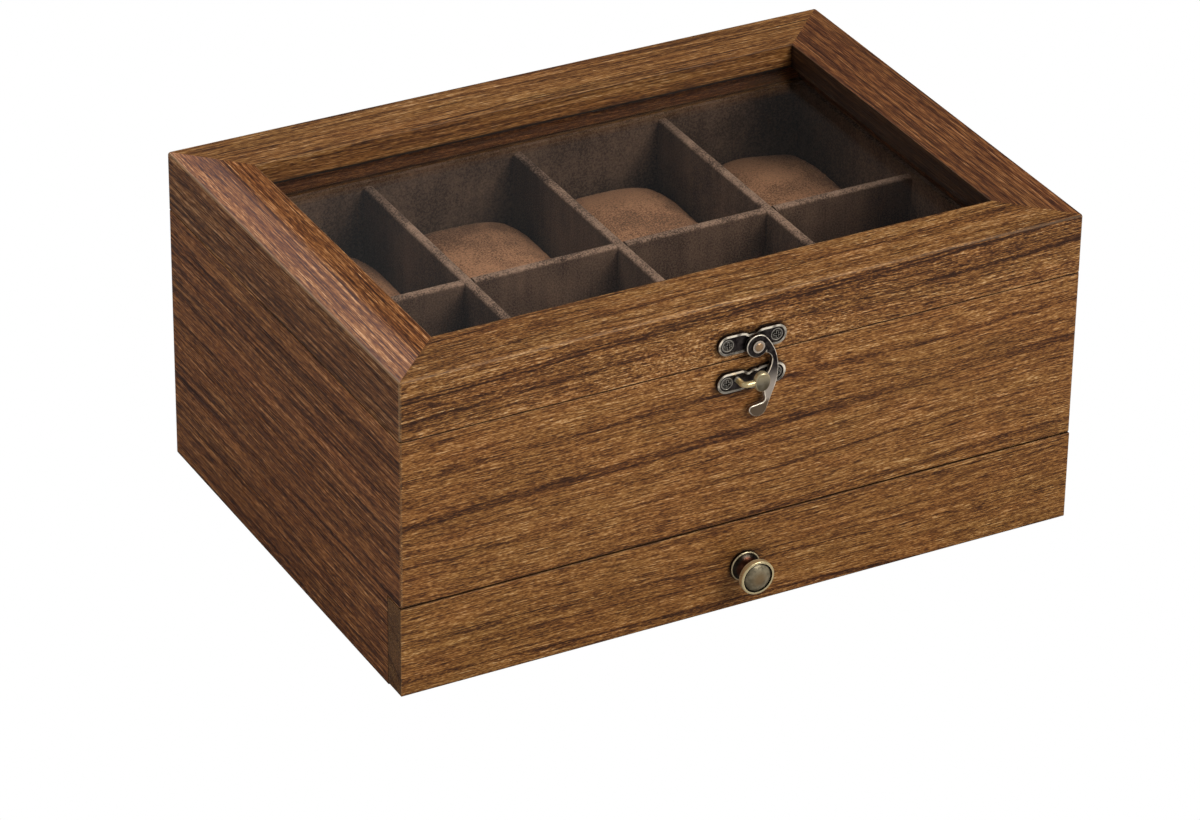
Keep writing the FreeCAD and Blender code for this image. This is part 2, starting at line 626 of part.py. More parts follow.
def countersink(shank, head, head_height, depth, clearance):
    """The hole that a countersunk screw leaves in a plate, with clearance all round."""
    slope = (head - shank)/head_height
    foot = -head_height - clearance
    mouth = depth
    profile = [[(0, -depth), (shank + clearance, -depth)],
               [(shank + clearance, -depth), (shank + clearance, foot)],
               [(shank + clearance, foot), (shank + clearance + slope*(mouth - foot), mouth)],
               [(shank + clearance + slope*(mouth - foot), mouth), (0, mouth)],
               [(0, mouth), (0, -depth)]]
    return turned(profile)


# Knob with a flared foot, hollowed towards the neck, and a domed head with a groove inside its rim
def knob():
    foot, edge, neck = size("knob_foot_radius"), size("knob_foot_thickness"), size("knob_neck_radius")
    head, rim_top, thick = size("knob_head_radius"), size("knob_length"), size("knob_head_thickness")
    border, groove, dome = size("knob_rim"), size("knob_groove"), size("knob_dome")
    arris = size("arris")
    under = rim_top - thick
    dome_radius = head - border - groove
    profile = [[(0, 0), (foot, 0)],
               [(foot, 0), (foot, edge - arris)],
               [(foot, edge - arris), (foot - 0.3*arris, edge - 0.3*arris), (foot - arris, edge)],
               [(foot - arris, edge), (neck + 0.3*(foot - neck), edge + 0.2*(under - edge)),
                (neck, 0.5*(edge + under))],
               [(neck, 0.5*(edge + under)), (1.25*neck, under - 0.15*(under - edge)), (0.8*head, under)],
               [(0.8*head, under), (head - arris, under)],
               [(head - arris, under), (head - 0.3*arris, under + 0.3*arris), (head, under + arris)],
               [(head, under + arris), (head, rim_top - arris)],
               [(head, rim_top - arris), (head - 0.3*arris, rim_top - 0.3*arris), (head - arris, rim_top)],
               [(head - arris, rim_top), (head - border, rim_top)],
               [(head - border, rim_top), (head - border, rim_top - groove)],
               [(head - border, rim_top - groove), (dome_radius, rim_top - groove)],
               cap(dome_radius, rim_top - groove, groove + dome),
               [(0, rim_top + dome), (0, 0)]]
    hole = cylinder(size("knob_screw_radius") + size("screw_clearance"), 0,
                    size("knob_screw_depth") + size("screw_clearance"))
    place = pointing_forward(0, -size("box_depth")/2, size("knob_level"))
    return shaped("drawer_knob", turned(profile).cut(hole), place)


def knob_screw():
    """Pan head in the back of the drawer front, shank through the board into the knob."""
    shank, head, height = size("knob_screw_radius"), size("knob_screw_head_radius"), size("knob_screw_head_height")
    board = size("drawer_front_thickness")
    seat = -board + height
    tip = size("knob_screw_depth")
    profile = [[(0, tip), (shank, tip)],
               [(shank, tip), (shank, seat)],
               [(shank, seat), (head, seat)],
               [(head, seat), (head, seat - 0.5*height)],
               [(head, seat - 0.5*height), (0.75*head, seat - 0.85*height), (0.4*head, seat - height)],
               [(0.4*head, seat - height), (0, seat - height)],
               [(0, seat - height), (0, tip)]]
    slots = recess(0.22*head, 0.55*head, 0.6*height, seat - 0.4*height)
    place = pointing_forward(0, -size("box_depth")/2, size("knob_level"))
    return shaped("drawer_knob_screw", turned(profile).cut(slots), place)


knob()
knob_screw()


# Flat metal pieces on the front: drawn in the plane of the front, thickness towards the viewer
def flat_piece(face, back, thickness):
    """A face drawn with (across, up) points, standing proud of the front face by back to back + thickness."""
    front = -size("box_depth")/2
    moved = face.copy()
    moved.translate(FreeCAD.Vector(0, front - back, 0))
    return moved.extrude(FreeCAD.Vector(0, -thickness, 0))


def upright_disc(across, up, radius):
    circle = Part.makeCircle(radius, FreeCAD.Vector(across, 0, up), FreeCAD.Vector(0, -1, 0))
    return Part.Face(Part.Wire([circle]))


def upright_polygon(points):
    corners = [FreeCAD.Vector(across, 0, up) for across, up in points]
    return Part.Face(Part.makePolygon(corners + corners[:1]))


def latch_plate_blank(level, belly_level):
    """Two round ends joined by a waist, with a round belly behind the rivet or the head of the catch."""
    half, radius, waist = size("latch_screw_spacing")/2, size("latch_lobe_radius"), size("latch_waist")
    root = 0.45*half
    thickness = size("latch_plate_thickness")
    faces = [upright_polygon([(-half, level - waist), (half, level - waist),
                              (half, level + waist), (-half, level + waist)]),
             upright_disc(size("rivet_offset"), belly_level, radius)]
    for side in (-1, 1):
        faces.append(upright_disc(side*half, level, radius))
        faces.append(upright_disc(side*root, level, radius))
        faces.append(upright_polygon([(side*half, level - radius), (side*root, level - radius),
                                      (side*root, level + radius), (side*half, level + radius)]))
    prisms = [flat_piece(face, 0, thickness) for face in faces]
    return prisms[0].fuse(prisms[1:]).removeSplitter()


def bordered_plate(level, belly_level):
    """The plate with a raised border along its outline."""
    plate = latch_plate_blank(level, belly_level)
    thickness = size("latch_plate_thickness")
    front_face = -size("box_depth")/2 - thickness
    top = [face for face in plate.Faces if abs(face.BoundBox.YMax - front_face) < 0.001][0]
    inside = top.makeOffset2D(-size("latch_rim_width"))
    border = top.cut(inside).extrude(FreeCAD.Vector(0, -size("latch_rim"), 0))
    return plate.fuse(border).removeSplitter()


def latch_screw_places(level):
    half, front = size("latch_screw_spacing")/2, -size("box_depth")/2 - size("latch_plate_thickness")
    return [pointing_forward(place, front, level) for place in (-half, half)]


def with_screw_holes(plate, level):
    hole = countersink(size("latch_screw_radius"), size("latch_screw_head_radius"),
                       size("latch_screw_head_height"), size("latch_screw_length"), size("screw_clearance"))
    for place in latch_screw_places(level):
        cutter = hole.copy()
        cutter.Placement = place
        plate = plate.cut(cutter)
    return plate


def fasteners(label, screw, places):
    """Identical screws in one node."""
    copies = []
    for place in places:
        copy = screw.copy()
        copy.Placement = place
        copies.append(copy)
    return shaped(label, Part.makeCompound(copies))


latch_screw = countersunk(size("latch_screw_radius"), size("latch_screw_head_radius"),
                          size("latch_screw_head_height"),
                          size("latch_screw_length") + size("latch_plate_thickness") - size("screw_clearance"),
                          size("latch_rim"))
seam_level = size("rim_height") + size("lid_gap")/2
upper_level = seam_level + size("latch_plate_rise")
lower_level = seam_level - size("latch_catch_drop")
rivet_x = size("rivet_offset")
rivet_z = seam_level + size("rivet_rise")


def latch_plate():
    plate = with_screw_holes(bordered_plate(upper_level, rivet_z - size("plate_belly_drop")), upper_level)
    boss = flat_piece(upright_disc(rivet_x, rivet_z, size("hook_eye_radius") - size("hook_arm")/2),
                      size("latch_plate_thickness"), size("latch_rim"))
    hole = flat_piece(upright_disc(rivet_x, rivet_z, size("rivet_radius") + size("running_clearance")),
                      0, size("latch_plate_thickness") + size("latch_rim"))
    return shaped("latch_plate", plate.fuse(boss).removeSplitter().cut(hole))


hook_back = size("latch_plate_thickness") + size("latch_rim") + size("hook_play")
hook_front = hook_back + size("hook_thickness")


def rivet():
    """Shank through the plate and the eye, in front a head with a flat border round its dome."""
    shank, head, height = size("rivet_radius"), size("rivet_head_radius"), size("rivet_head_height")
    dome_radius = head - size("rivet_flange")
    seat = hook_front + size("hook_play")
    border_top, dome_foot = seat + 0.35*height, seat + 0.5*height
    profile = [[(0, 0), (shank, 0)],
               [(shank, 0), (shank, seat)],
               [(shank, seat), (head, seat)],
               [(head, seat), (head, border_top)],
               [(head, border_top), (dome_radius, border_top)],
               [(dome_radius, border_top), (dome_radius, dome_foot)],
               cap(dome_radius, dome_foot, seat + height - dome_foot),
               [(0, seat + height), (0, 0)]]
    return shaped("latch_rivet", turned(profile), pointing_forward(rivet_x, -size("box_depth")/2, rivet_z))


def smooth_chain(start, direction, stops):
    """Arcs that run on smoothly: each starts in the direction in which the one before it ends."""
    edges = []
    here = FreeCAD.Vector(start[0], 0, start[1])
    heading = FreeCAD.Vector(direction[0], 0, direction[1]).normalize()
    for across, up in stops:
        there = FreeCAD.Vector(across, 0, up)
        chord = there - here
        along = FreeCAD.Vector(chord).normalize()
        sideways = heading - along*heading.dot(along)
        bend = chord.Length/2*sideways.Length/(1 + heading.dot(along))
        middle = here + chord*0.5 + FreeCAD.Vector(sideways).normalize()*bend
        edges.append(Part.Arc(here, middle, there).toShape())
        heading = along*(2*heading.dot(along)) - heading
        here = there
    return edges


def hook():
    """Eye round the rivet, an arm that bulges to the right and a round tip that curls to the left."""
    eye, reach, bulge, tip = size("hook_eye_radius"), size("hook_reach"), size("hook_bulge"), size("hook_tip_radius")
    inner = bulge - size("hook_arm")
    turn = math.radians(42)
    start = (eye*math.cos(turn), eye*math.sin(turn))
    outer_side = [(0.99*bulge, -0.29*reach), (0.83*bulge, -0.65*reach), (0.47*bulge, -0.93*reach)]
    round_tip = [(0.1*tip, -reach), (-1.2*tip, -reach + 1.05*tip), (-0.65*tip, -reach + 2*tip)]
    inner_side = [(tip, -reach + 2.2*tip), (1.5*tip, -reach + 2.95*tip), (0.385*bulge, -0.49*reach),
                  (0.47*bulge, -0.43*reach), (inner, -0.26*reach), (0.74*eye, -0.76*eye)]
    edges = smooth_chain(start, (math.sin(turn), -math.cos(turn)), outer_side + round_tip + inner_side)
    edges.append(Part.makeLine(edges[-1].Vertexes[-1].Point, edges[0].Vertexes[0].Point))
    arm = flat_piece(Part.Face(Part.Wire(edges)), hook_back, size("hook_thickness"))
    solid = arm.fuse(flat_piece(upright_disc(0, 0, eye), hook_back, size("hook_thickness"))).removeSplitter()
    front_face = -size("box_depth")/2 - hook_front
    rounded = [edge for edge in solid.Edges if abs(edge.BoundBox.YMin - front_face) < 0.01
               and abs(edge.BoundBox.YMax - front_face) < 0.01]
    solid = solid.makeFillet(size("arris"), rounded)
    hole = flat_piece(upright_disc(0, 0, size("rivet_radius") + size("running_clearance")),
                      hook_back, size("hook_thickness"))
    return shaped("latch_hook", solid.cut(hole).Solids[0],
                  FreeCAD.Placement(FreeCAD.Vector(rivet_x, 0, rivet_z), FreeCAD.Rotation()))


def catch():
    """Lower plate; a finger stands on its left part, bends to the right and carries the oval head."""
    plate = with_screw_holes(bordered_plate(lower_level, lower_level - size("plate_belly_drop")), lower_level)
    front = -size("box_depth")/2
    radius, head_level = size("finger_radius"), seam_level - size("catch_head_drop")
    root_x = rivet_x - size("finger_offset")
    head_back = hook_front + size("catch_head_clearance")
    height = head_back + size("catch_head_thickness")/2
    bend = 1.5*radius
    path = [Part.LineSegment(FreeCAD.Vector(root_x, front - 0.5*size("latch_plate_thickness"), head_level),
                             FreeCAD.Vector(root_x, front - height + bend, head_level)),
            Part.Arc(FreeCAD.Vector(root_x, front - height + bend, head_level),
                     FreeCAD.Vector(root_x + 0.293*bend, front - height + 0.293*bend, head_level),
                     FreeCAD.Vector(root_x + bend, front - height, head_level)),
            Part.LineSegment(FreeCAD.Vector(root_x + bend, front - height, head_level),
                             FreeCAD.Vector(rivet_x, front - height, head_level))]
    spine = Part.Wire([piece.toShape() for piece in path])
    section = Part.Wire([Part.makeCircle(radius, path[0].StartPoint, FreeCAD.Vector(0, -1, 0))])
    finger = spine.makePipeShell([section], True, False)
    oval = Part.Ellipse(FreeCAD.Vector(0, size("catch_head_height")/2, 0),
                        FreeCAD.Vector(size("catch_head_width")/2, 0, 0), FreeCAD.Vector(0, 0, 0))
    thickness = size("catch_head_thickness")
    head = Part.Face(Part.Wire([oval.toShape()])).extrude(FreeCAD.Vector(0, 0, thickness))
    ends = [edge for edge in head.Edges if edge.BoundBox.ZLength < 0.01]
    head = head.makeFillet(0.36*thickness, ends)
    head.Placement = pointing_forward(rivet_x, front - head_back, head_level)
    return shaped("latch_catch", plate.fuse([finger, head]).removeSplitter())


latch_plate()
fasteners("latch_plate_screws", latch_screw, latch_screw_places(upper_level))
rivet()
hook()
catch()
fasteners("latch_catch_screws", latch_screw, latch_screw_places(lower_level))


# Hinges: leaves let into the rims, knuckles behind the back face, one pin through each barrel
hinge_axis_y = size("box_depth")/2 + size("hinge_proud")
hinge_axis_z = seam_level
knuckle = size("hinge_length")/5


def barrel(start, length, radius):
    return Part.makeCylinder(radius, length, FreeCAD.Vector(start, hinge_axis_y, hinge_axis_z),
                             FreeCAD.Vector(1, 0, 0))


def hinge_leaf(label, middle, low, knuckles, hole_radius, head_up):
    """A leaf from the barrel into the wood, with its own knuckles; the others get room."""
    left = middle - size("hinge_length")/2
    front = size("box_depth")/2 - size("hinge_leaf_depth")
    thickness = size("hinge_leaf_thickness")
    leaf = Part.makeBox(size("hinge_length"), hinge_axis_y - front, thickness,
                        FreeCAD.Vector(left, front, low))
    gap = size("hinge_end_gap")
    others = [k for k in range(5) if k not in knuckles]
    room = size("hinge_barrel_radius") + gap
    for k in others:
        leaf = leaf.cut(barrel(left + k*knuckle - (gap if k else 0), knuckle + (2*gap if 0 < k < 4 else gap), room))
    for k in knuckles:
        start = left + k*knuckle + (gap/2 if k else 0)
        end = left + (k + 1)*knuckle - (gap/2 if k < 4 else 0)
        leaf = leaf.fuse(barrel(start, end - start, size("hinge_barrel_radius")))
    leaf = leaf.removeSplitter().cut(barrel(left - gap, size("hinge_length") + 2*gap, hole_radius))
    face_level = low + thickness if head_up else low
    hole = countersink(size("hinge_screw_radius"), size("hinge_screw_head_radius"),
                       size("hinge_screw_head_height"), thickness, size("screw_clearance"))
    for place in hinge_screw_places(middle, face_level, head_up):
        cutter = hole.copy()
        cutter.Placement = place
        leaf = leaf.cut(cutter)
    return shaped(label, leaf)


def hinge_screw_places(middle, level, head_up):
    y = size("box_depth")/2 - size("hinge_leaf_depth")/2
    turn = FreeCAD.Rotation() if head_up else FreeCAD.Rotation(FreeCAD.Vector(1, 0, 0), 180)
    return [FreeCAD.Placement(FreeCAD.Vector(middle + step*size("hinge_screw_spacing"), y, level), turn)
            for step in (-1, 0, 1)]


def hinge_pin(label, middle):
    radius, head = size("hinge_pin_radius"), size("hinge_pin_head")
    button = 1.6*radius
    half = size("hinge_length")/2
    seat = half + 0.1*head
    profile = [cap(button, -seat, -0.9*head)[::-1],
               [(button, -seat), (radius, -seat)],
               [(radius, -seat), (radius, seat)],
               [(radius, seat), (button, seat)],
               cap(button, seat, 0.9*head),
               [(0, seat + 0.9*head), (0, -seat - 0.9*head)]]
    place = FreeCAD.Placement(FreeCAD.Vector(middle, hinge_axis_y, hinge_axis_z),
                              FreeCAD.Rotation(FreeCAD.Vector(0, 1, 0), 90))
    return shaped(label, turned(profile), place)


case_leaf_level = size("rim_height")
lid_leaf_level = size("rim_height") + size("lid_gap")
hinge_screw = countersunk(size("hinge_screw_radius"), size("hinge_screw_head_radius"),
                          size("hinge_screw_head_height"), size("hinge_screw_length"), size("hinge_screw_crown"))
case_places, lid_places = [], []
for side, sign in (("left", -1), ("right", 1)):
    middle = sign*(size("box_width")/2 - size("hinge_inset"))
    hinge_leaf("hinge_%s_case_leaf" % side, middle, case_leaf_level - size("hinge_leaf_thickness"), (0, 2, 4),
               size("hinge_pin_radius") + size("running_clearance")/2, True)
    hinge_leaf("hinge_%s_lid_leaf" % side, middle, lid_leaf_level, (1, 3),
               size("hinge_pin_radius") + size("running_clearance"), False)
    hinge_pin("hinge_%s_pin" % side, middle)
    case_places += hinge_screw_places(middle, case_leaf_level, True)
    lid_places += hinge_screw_places(middle, lid_leaf_level, False)
fasteners("hinge_case_screws", hinge_screw, case_places)
fasteners("hinge_lid_screws", hinge_screw, lid_places)


# Watch pillows: stuffed blocks with a crown, drawn in towards the base
def rounded_section(width, depth, corner, level):
    """Closed outline of four lines and four quarter arcs."""
    a, b = width/2, depth/2
    r = corner
    q = r*(1 - math.sqrt(0.5))
    corners = [((a - r, -b), (a - q, -b + q), (a, -b + r)), ((a, b - r), (a - q, b - q), (a - r, b)),
               ((-a + r, b), (-a + q, b - q), (-a, b - r)), ((-a, -b + r), (-a + q, -b + q), (-a + r, -b))]
    edges = []
    for k, arc in enumerate(corners):
        points = [FreeCAD.Vector(x, y, level) for x, y in arc]
        following = FreeCAD.Vector(corners[(k + 1) % 4][0][0], corners[(k + 1) % 4][0][1], level)
        edges.append(Part.Arc(*points).toShape())
        edges.append(Part.LineSegment(points[2], following).toShape())
    return Part.Wire(edges)


def pillow_shape():
    """Loft through level sections; each stands in from the widest one by the given distance."""
    gap = 2*size("pillow_side_gap")
    room_width = (size("box_width") - 2*size("wall") - 2*size("lining") - 3*size("divider"))/4
    room_depth = (size("box_depth") - 2*size("wall") - 2*size("lining") - size("divider"))/2
    width, depth, height = room_width - gap, room_depth - gap, size("pillow_height")
    sections = [(0, 5.0), (0.10, 1.9), (0.32, 0.2), (0.58, 0.0), (0.76, 0.9), (0.88, 3.6), (0.96, 8.6), (1.0, 15.0)]
    wires = [rounded_section(width - 2*inset, depth - 2*inset, size("pillow_corner"), share*height)
             for share, inset in sections]
    return Part.makeLoft(wires, True, False)


column_step = (size("box_width") - 2*size("wall") - 2*size("lining") + size("divider"))/4
row_step = (size("box_depth") - 2*size("wall") - 2*size("lining") + size("divider"))/4
shelf_level = size("drawer_front_top") + size("drawer_top_gap") + size("shelf_rise")
pillow_level = shelf_level + size("shelf_thickness") + size("floor_lining") + size("soft_gap")
stuffed = pillow_shape()
for row_name, row_sign in (("back", 1), ("front", -1)):
    for number in range(4):
        spot = FreeCAD.Vector((number - 1.5)*column_step, row_sign*row_step, pillow_level)
        shaped("pillow_%s_%d" % (row_name, number + 1), stuffed, FreeCAD.Placement(spot, FreeCAD.Rotation()))

# Check everything, then write one file for each sub-part
document.recompute()
for item in document.Objects:
    if "Invalid" in item.State or "Error" in item.State:
        raise ValueError("%s failed: %s" % (item.Label, item.State))
for piece in sub_parts:
    if piece.Shape.isNull() or not piece.Shape.isValid():
        raise ValueError("%s has no valid shape" % piece.Label)
os.makedirs("parts", exist_ok=True)
for piece in sub_parts:
    piece.Shape.exportStep("parts/%s.step" % piece.Label)
    print("%-24s %d solids, %.0f mm3" % (piece.Label, len(piece.Shape.Solids), piece.Shape.Volume))
print(len(sub_parts), "sub-parts")
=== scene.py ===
import math
import bpy
import numpy as np
from mathutils import Matrix, Vector


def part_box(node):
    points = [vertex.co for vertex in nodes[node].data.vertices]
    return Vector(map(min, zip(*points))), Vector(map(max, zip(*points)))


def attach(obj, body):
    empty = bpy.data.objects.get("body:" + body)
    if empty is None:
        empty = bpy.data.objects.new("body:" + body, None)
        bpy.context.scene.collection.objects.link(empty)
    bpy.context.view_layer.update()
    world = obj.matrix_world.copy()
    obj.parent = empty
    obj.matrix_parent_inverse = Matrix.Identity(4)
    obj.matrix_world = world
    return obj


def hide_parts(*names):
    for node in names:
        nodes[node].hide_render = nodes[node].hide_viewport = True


# Watch box with a glazed lid: looks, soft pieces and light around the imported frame. Metres.

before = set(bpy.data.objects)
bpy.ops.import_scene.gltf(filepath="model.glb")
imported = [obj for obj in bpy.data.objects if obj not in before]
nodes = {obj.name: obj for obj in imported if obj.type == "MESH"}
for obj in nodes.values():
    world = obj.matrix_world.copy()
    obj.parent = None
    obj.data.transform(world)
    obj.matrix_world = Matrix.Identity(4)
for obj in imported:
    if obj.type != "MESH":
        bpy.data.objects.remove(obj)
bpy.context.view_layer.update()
print("frame loaded:", len(nodes), "nodes")


# small tools for node trees

def newNode(tree, kind):
    return tree.nodes.new("ShaderNode" + kind)


def feed(tree, value, socket):
    # a socket is linked, a value is set on the input itself, and a colour gets an alpha of 1
    if isinstance(value, bpy.types.NodeSocket):
        tree.links.new(value, socket)
    elif socket.type == "RGBA":
        socket.default_value = (*value, 1.0)
    else:
        socket.default_value = value


def setAll(tree, node, values):
    # each named input of the node is linked or set
    for name, value in values.items():
        feed(tree, value, node.inputs[name])


def calc(tree, operation, *values, clamp=False):
    # one step of arithmetic on numbers; clamp keeps the result from 0 to 1
    node = newNode(tree, "Math")
    node.operation = operation
    node.use_clamp = clamp
    for place, value in enumerate(values):
        feed(tree, value, node.inputs[place])
    return node.outputs[0]


def plus(tree, first, second, clamp=False):
    # the first plus the second
    return calc(tree, "ADD", first, second, clamp=clamp)


def minus(tree, first, second, clamp=False):
    # the first less the second
    return calc(tree, "SUBTRACT", first, second, clamp=clamp)


def times(tree, first, second, clamp=False):
    # the first times the second
    return calc(tree, "MULTIPLY", first, second, clamp=clamp)


def oneLess(tree, mask, amount):
    # 1 less the mask times the amount
    return minus(tree, 1.0, times(tree, mask, amount))


def addLayers(tree, layers, amounts, start=None):
    # each named layer times its amount, all added up, on top of start
    for name, amount in amounts.items():
        part = times(tree, layers[name], amount)
        start = part if start is None else plus(tree, start, part)
    return start


def vecCalc(tree, operation, *values, output=0):
    # one step of arithmetic on vectors; output 1 is for a length or a dot product
    node = newNode(tree, "VectorMath")
    node.operation = operation
    for place, value in enumerate(values):
        feed(tree, value, node.inputs[place])
    return node.outputs[output]


def scaled(tree, vector, factors):
    # each part of the vector times its own factor, or all of them times one number
    return vecCalc(tree, "MULTIPLY", vector, factors)


def axes(tree, vector):
    # the X, Y and Z of a vector
    node = newNode(tree, "SeparateXYZ")
    feed(tree, vector, node.inputs[0])
    return node.outputs


def coordinate(tree, kind):
    return newNode(tree, "TexCoord").outputs[kind]


def ramp(tree, value, low, high, outLow=0.0, outHigh=1.0):
    # smooth step of value from low to high, onto outLow to outHigh
    node = newNode(tree, "MapRange")
    node.interpolation_type = "SMOOTHSTEP"
    setAll(tree, node, {"Value": value, "From Min": low, "From Max": high, "To Min": outLow,
                        "To Max": outHigh})
    return node.outputs["Result"]


def noise(tree, vector, scale=1.0, detail=2.0, roughness=0.5, output="Fac"):
    # cloudy noise from 0 to 1, with about scale cycles in each unit of the vector
    node = newNode(tree, "TexNoise")
    setAll(tree, node, {"Vector": vector, "Scale": scale, "Detail": detail, "Roughness": roughness})
    return node.outputs[output]


def mix(tree, factor, first, second, blend="MIX"):
    # the second colour over, or added to, the first by the factor
    node = newNode(tree, "Mix")
    node.data_type = "RGBA"
    node.blend_type = blend
    feed(tree, factor, node.inputs[0])
    feed(tree, first, node.inputs[6])
    feed(tree, second, node.inputs[7])
    return node.outputs[2]


def colorSteps(tree, value, steps):
    # the colour at a value, straight between the steps on both sides of it
    node = newNode(tree, "ValToRGB")
    feed(tree, value, node.inputs[0])
    band = node.color_ramp
    while len(band.elements) < len(steps):
        band.elements.new(0.5)
    for element, (place, color) in zip(band.elements, steps):
        element.position = place
        element.color = (*color, 1.0)
    return node.outputs[0]


def bump(tree, height, distance, strength=1.0):
    # the normal that a height from 0 to 1, times the distance, would have
    node = newNode(tree, "Bump")
    setAll(tree, node, {"Height": height, "Distance": distance, "Strength": strength})
    return node.outputs["Normal"]


def openness(tree, reach, samples):
    # 1 in the open, down to 0 in hollows within the reach
    node = newNode(tree, "AmbientOcclusion")
    node.samples = samples
    node.inputs["Distance"].default_value = reach
    return node.outputs["AO"]


def mixShaders(tree, factor, first, second):
    # the surface is the first shader where the factor is 0 and the second where it is 1
    node = newNode(tree, "MixShader")
    feed(tree, factor, node.inputs[0])
    tree.links.new(first.outputs[0], node.inputs[1])
    tree.links.new(second.outputs[0], node.inputs[2])
    tree.links.new(node.outputs[0], tree.nodes["Material Output"].inputs["Surface"])


def newGroup(name, inputs, outputs):
    # inputs: name -> default value, a triple for a vector, a quadruple for a colour; outputs: name -> kind
    tree = bpy.data.node_groups.new(name, "ShaderNodeTree")
    for label, value in inputs.items():
        kind = "Float"
        if isinstance(value, tuple):
            kind = "Vector" if len(value) == 3 else "Color"
        socket = tree.interface.new_socket(label, in_out="INPUT", socket_type="NodeSocket" + kind)
        socket.default_value = value
    for label, kind in outputs.items():
        tree.interface.new_socket(label, in_out="OUTPUT", socket_type="NodeSocket" + kind)
    start = tree.nodes.new("NodeGroupInput")
    end = tree.nodes.new("NodeGroupOutput")
    return tree, start.outputs, end.inputs


def useGroup(tree, group, values):
    node = newNode(tree, "Group")
    node.node_tree = group
    setAll(tree, node, values)
    return node.outputs


def newMaterial(name):
    material = bpy.data.materials.new(name)
    material.use_nodes = True
    return material, material.node_tree, material.node_tree.nodes["Principled BSDF"]


def paint(material, *names):
    # the material becomes the only one on each named piece
    for name in names:
        mesh = nodes[name].data
        mesh.materials.clear()
        mesh.materials.append(material)


def startingWith(start):
    return [name for name in nodes if name.startswith(start)]


def addObject(name, data):
    # a new object at the origin, unturned
    made = bpy.data.objects.new(name, data)
    bpy.context.scene.collection.objects.link(made)
    return made


# shared effects as shader node groups

boardValues = {
    # bending: cycles per mm along and across the board, detail of the noise, reach in mm
    "sway": (0.005, 0.014, 1.0, 8.0),
    "ripple": (0.02, 0.06, 2.0, 2.4),
    "jitter": (0.14, 0.7, 2.0, 0.6),
    # layers: cycles per mm along and across the board, detail and roughness of the noise
    "patch": (0.01, 0.035, 2.0, 0.5),
    "broad": (0.006, 0.17, 2.0, 0.5),
    "thread": (0.008, 0.75, 3.0, 0.5),
    "fibre": (0.035, 1.5, 2.0, 0.6),
    "fine": (0.1, 2.7, 2.0, 0.7),
    "grit": (0.6, 2.8, 1.0, 0.5),
    "pores": (0.09, 2.3, 2.0, 0.6),
    "paintedGlints": (0.6, 2.0, 1.0, 0.5),
    "curl": (0.9, 1.25, 3.0, 0.65),
    "lineGaps": (0.015, 0.2, 2.0, 0.5),
    "warmth": (0.03, 0.13, 3.0, 0.5),
    # the noise between these two values is spread to the whole of 0 to 1
    "spread": (0.28, 0.72), "gapSpread": (0.25, 0.5),
    # shifts that keep boards, pores and painted glints apart
    "seedShift": (137.1, 71.7, 39.3), "poreShift": (11.0, 23.0, 7.0), "glintShift": (47.0, 5.0, 29.0),
    # rings: cycles per mm and reach of their uneven width, strength of the faintest
    "uneven": 0.09, "unevenReach": 2.0, "faintest": 0.4,
    # places in a ring, from 0 to 1, where late wood and the dark line begin and end
    "lateStart": (0.5, 0.92), "lateEnd": (0.95, 1.0), "lineStart": (0.87, 0.94), "lineEnd": (0.96, 1.0),
    # pores and painted glints: the noise that makes one, how late wood and broad streaks crowd them
    "poreEdge": (0.56, 0.66), "poreLate": 0.09, "poreBroad": -0.04,
    "glintEdge": (0.58, 0.68), "glintLeast": 0.15,
    # curl: narrowness in X, Y and Z, where it fades, its middle, how far it hides the long layers
    "curlShape": (15.0, 4.0, 70.0), "curlFade": (1.25, 0.25), "curlMiddle": 0.47, "curlHides": 0.75,
    # how far each layer swings the tone; the long ones are hidden by curl
    "longSwings": {"patch": 0.16, "broad": 0.06, "thread": 1.0, "fibre": 0.12, "late": -0.05, "line": -0.32,
                   "pores": -0.17},
    "shortSwings": {"fine": 0.48, "grit": 0.36, "paintedGlints": 0.2, "curl": 1.1},
    "middleTone": 0.53, "warmShift": (0.11, -0.1, -0.07),
    # roughness off and in the pores; relief: share of the fine layer, depth in m and strength
    "roughness": (0.0, 0.8, 0.48, 0.66), "fineHeight": 0.4, "relief": (0.0001, 0.5),
    # tone -> colour
    "colors": ((0.0, (0.03, 0.011, 0.005)), (0.22, (0.066, 0.024, 0.009)), (0.45, (0.145, 0.057, 0.015)),
               (0.62, (0.235, 0.104, 0.028)), (0.8, (0.345, 0.178, 0.064)), (1.0, (0.54, 0.34, 0.175))),
}


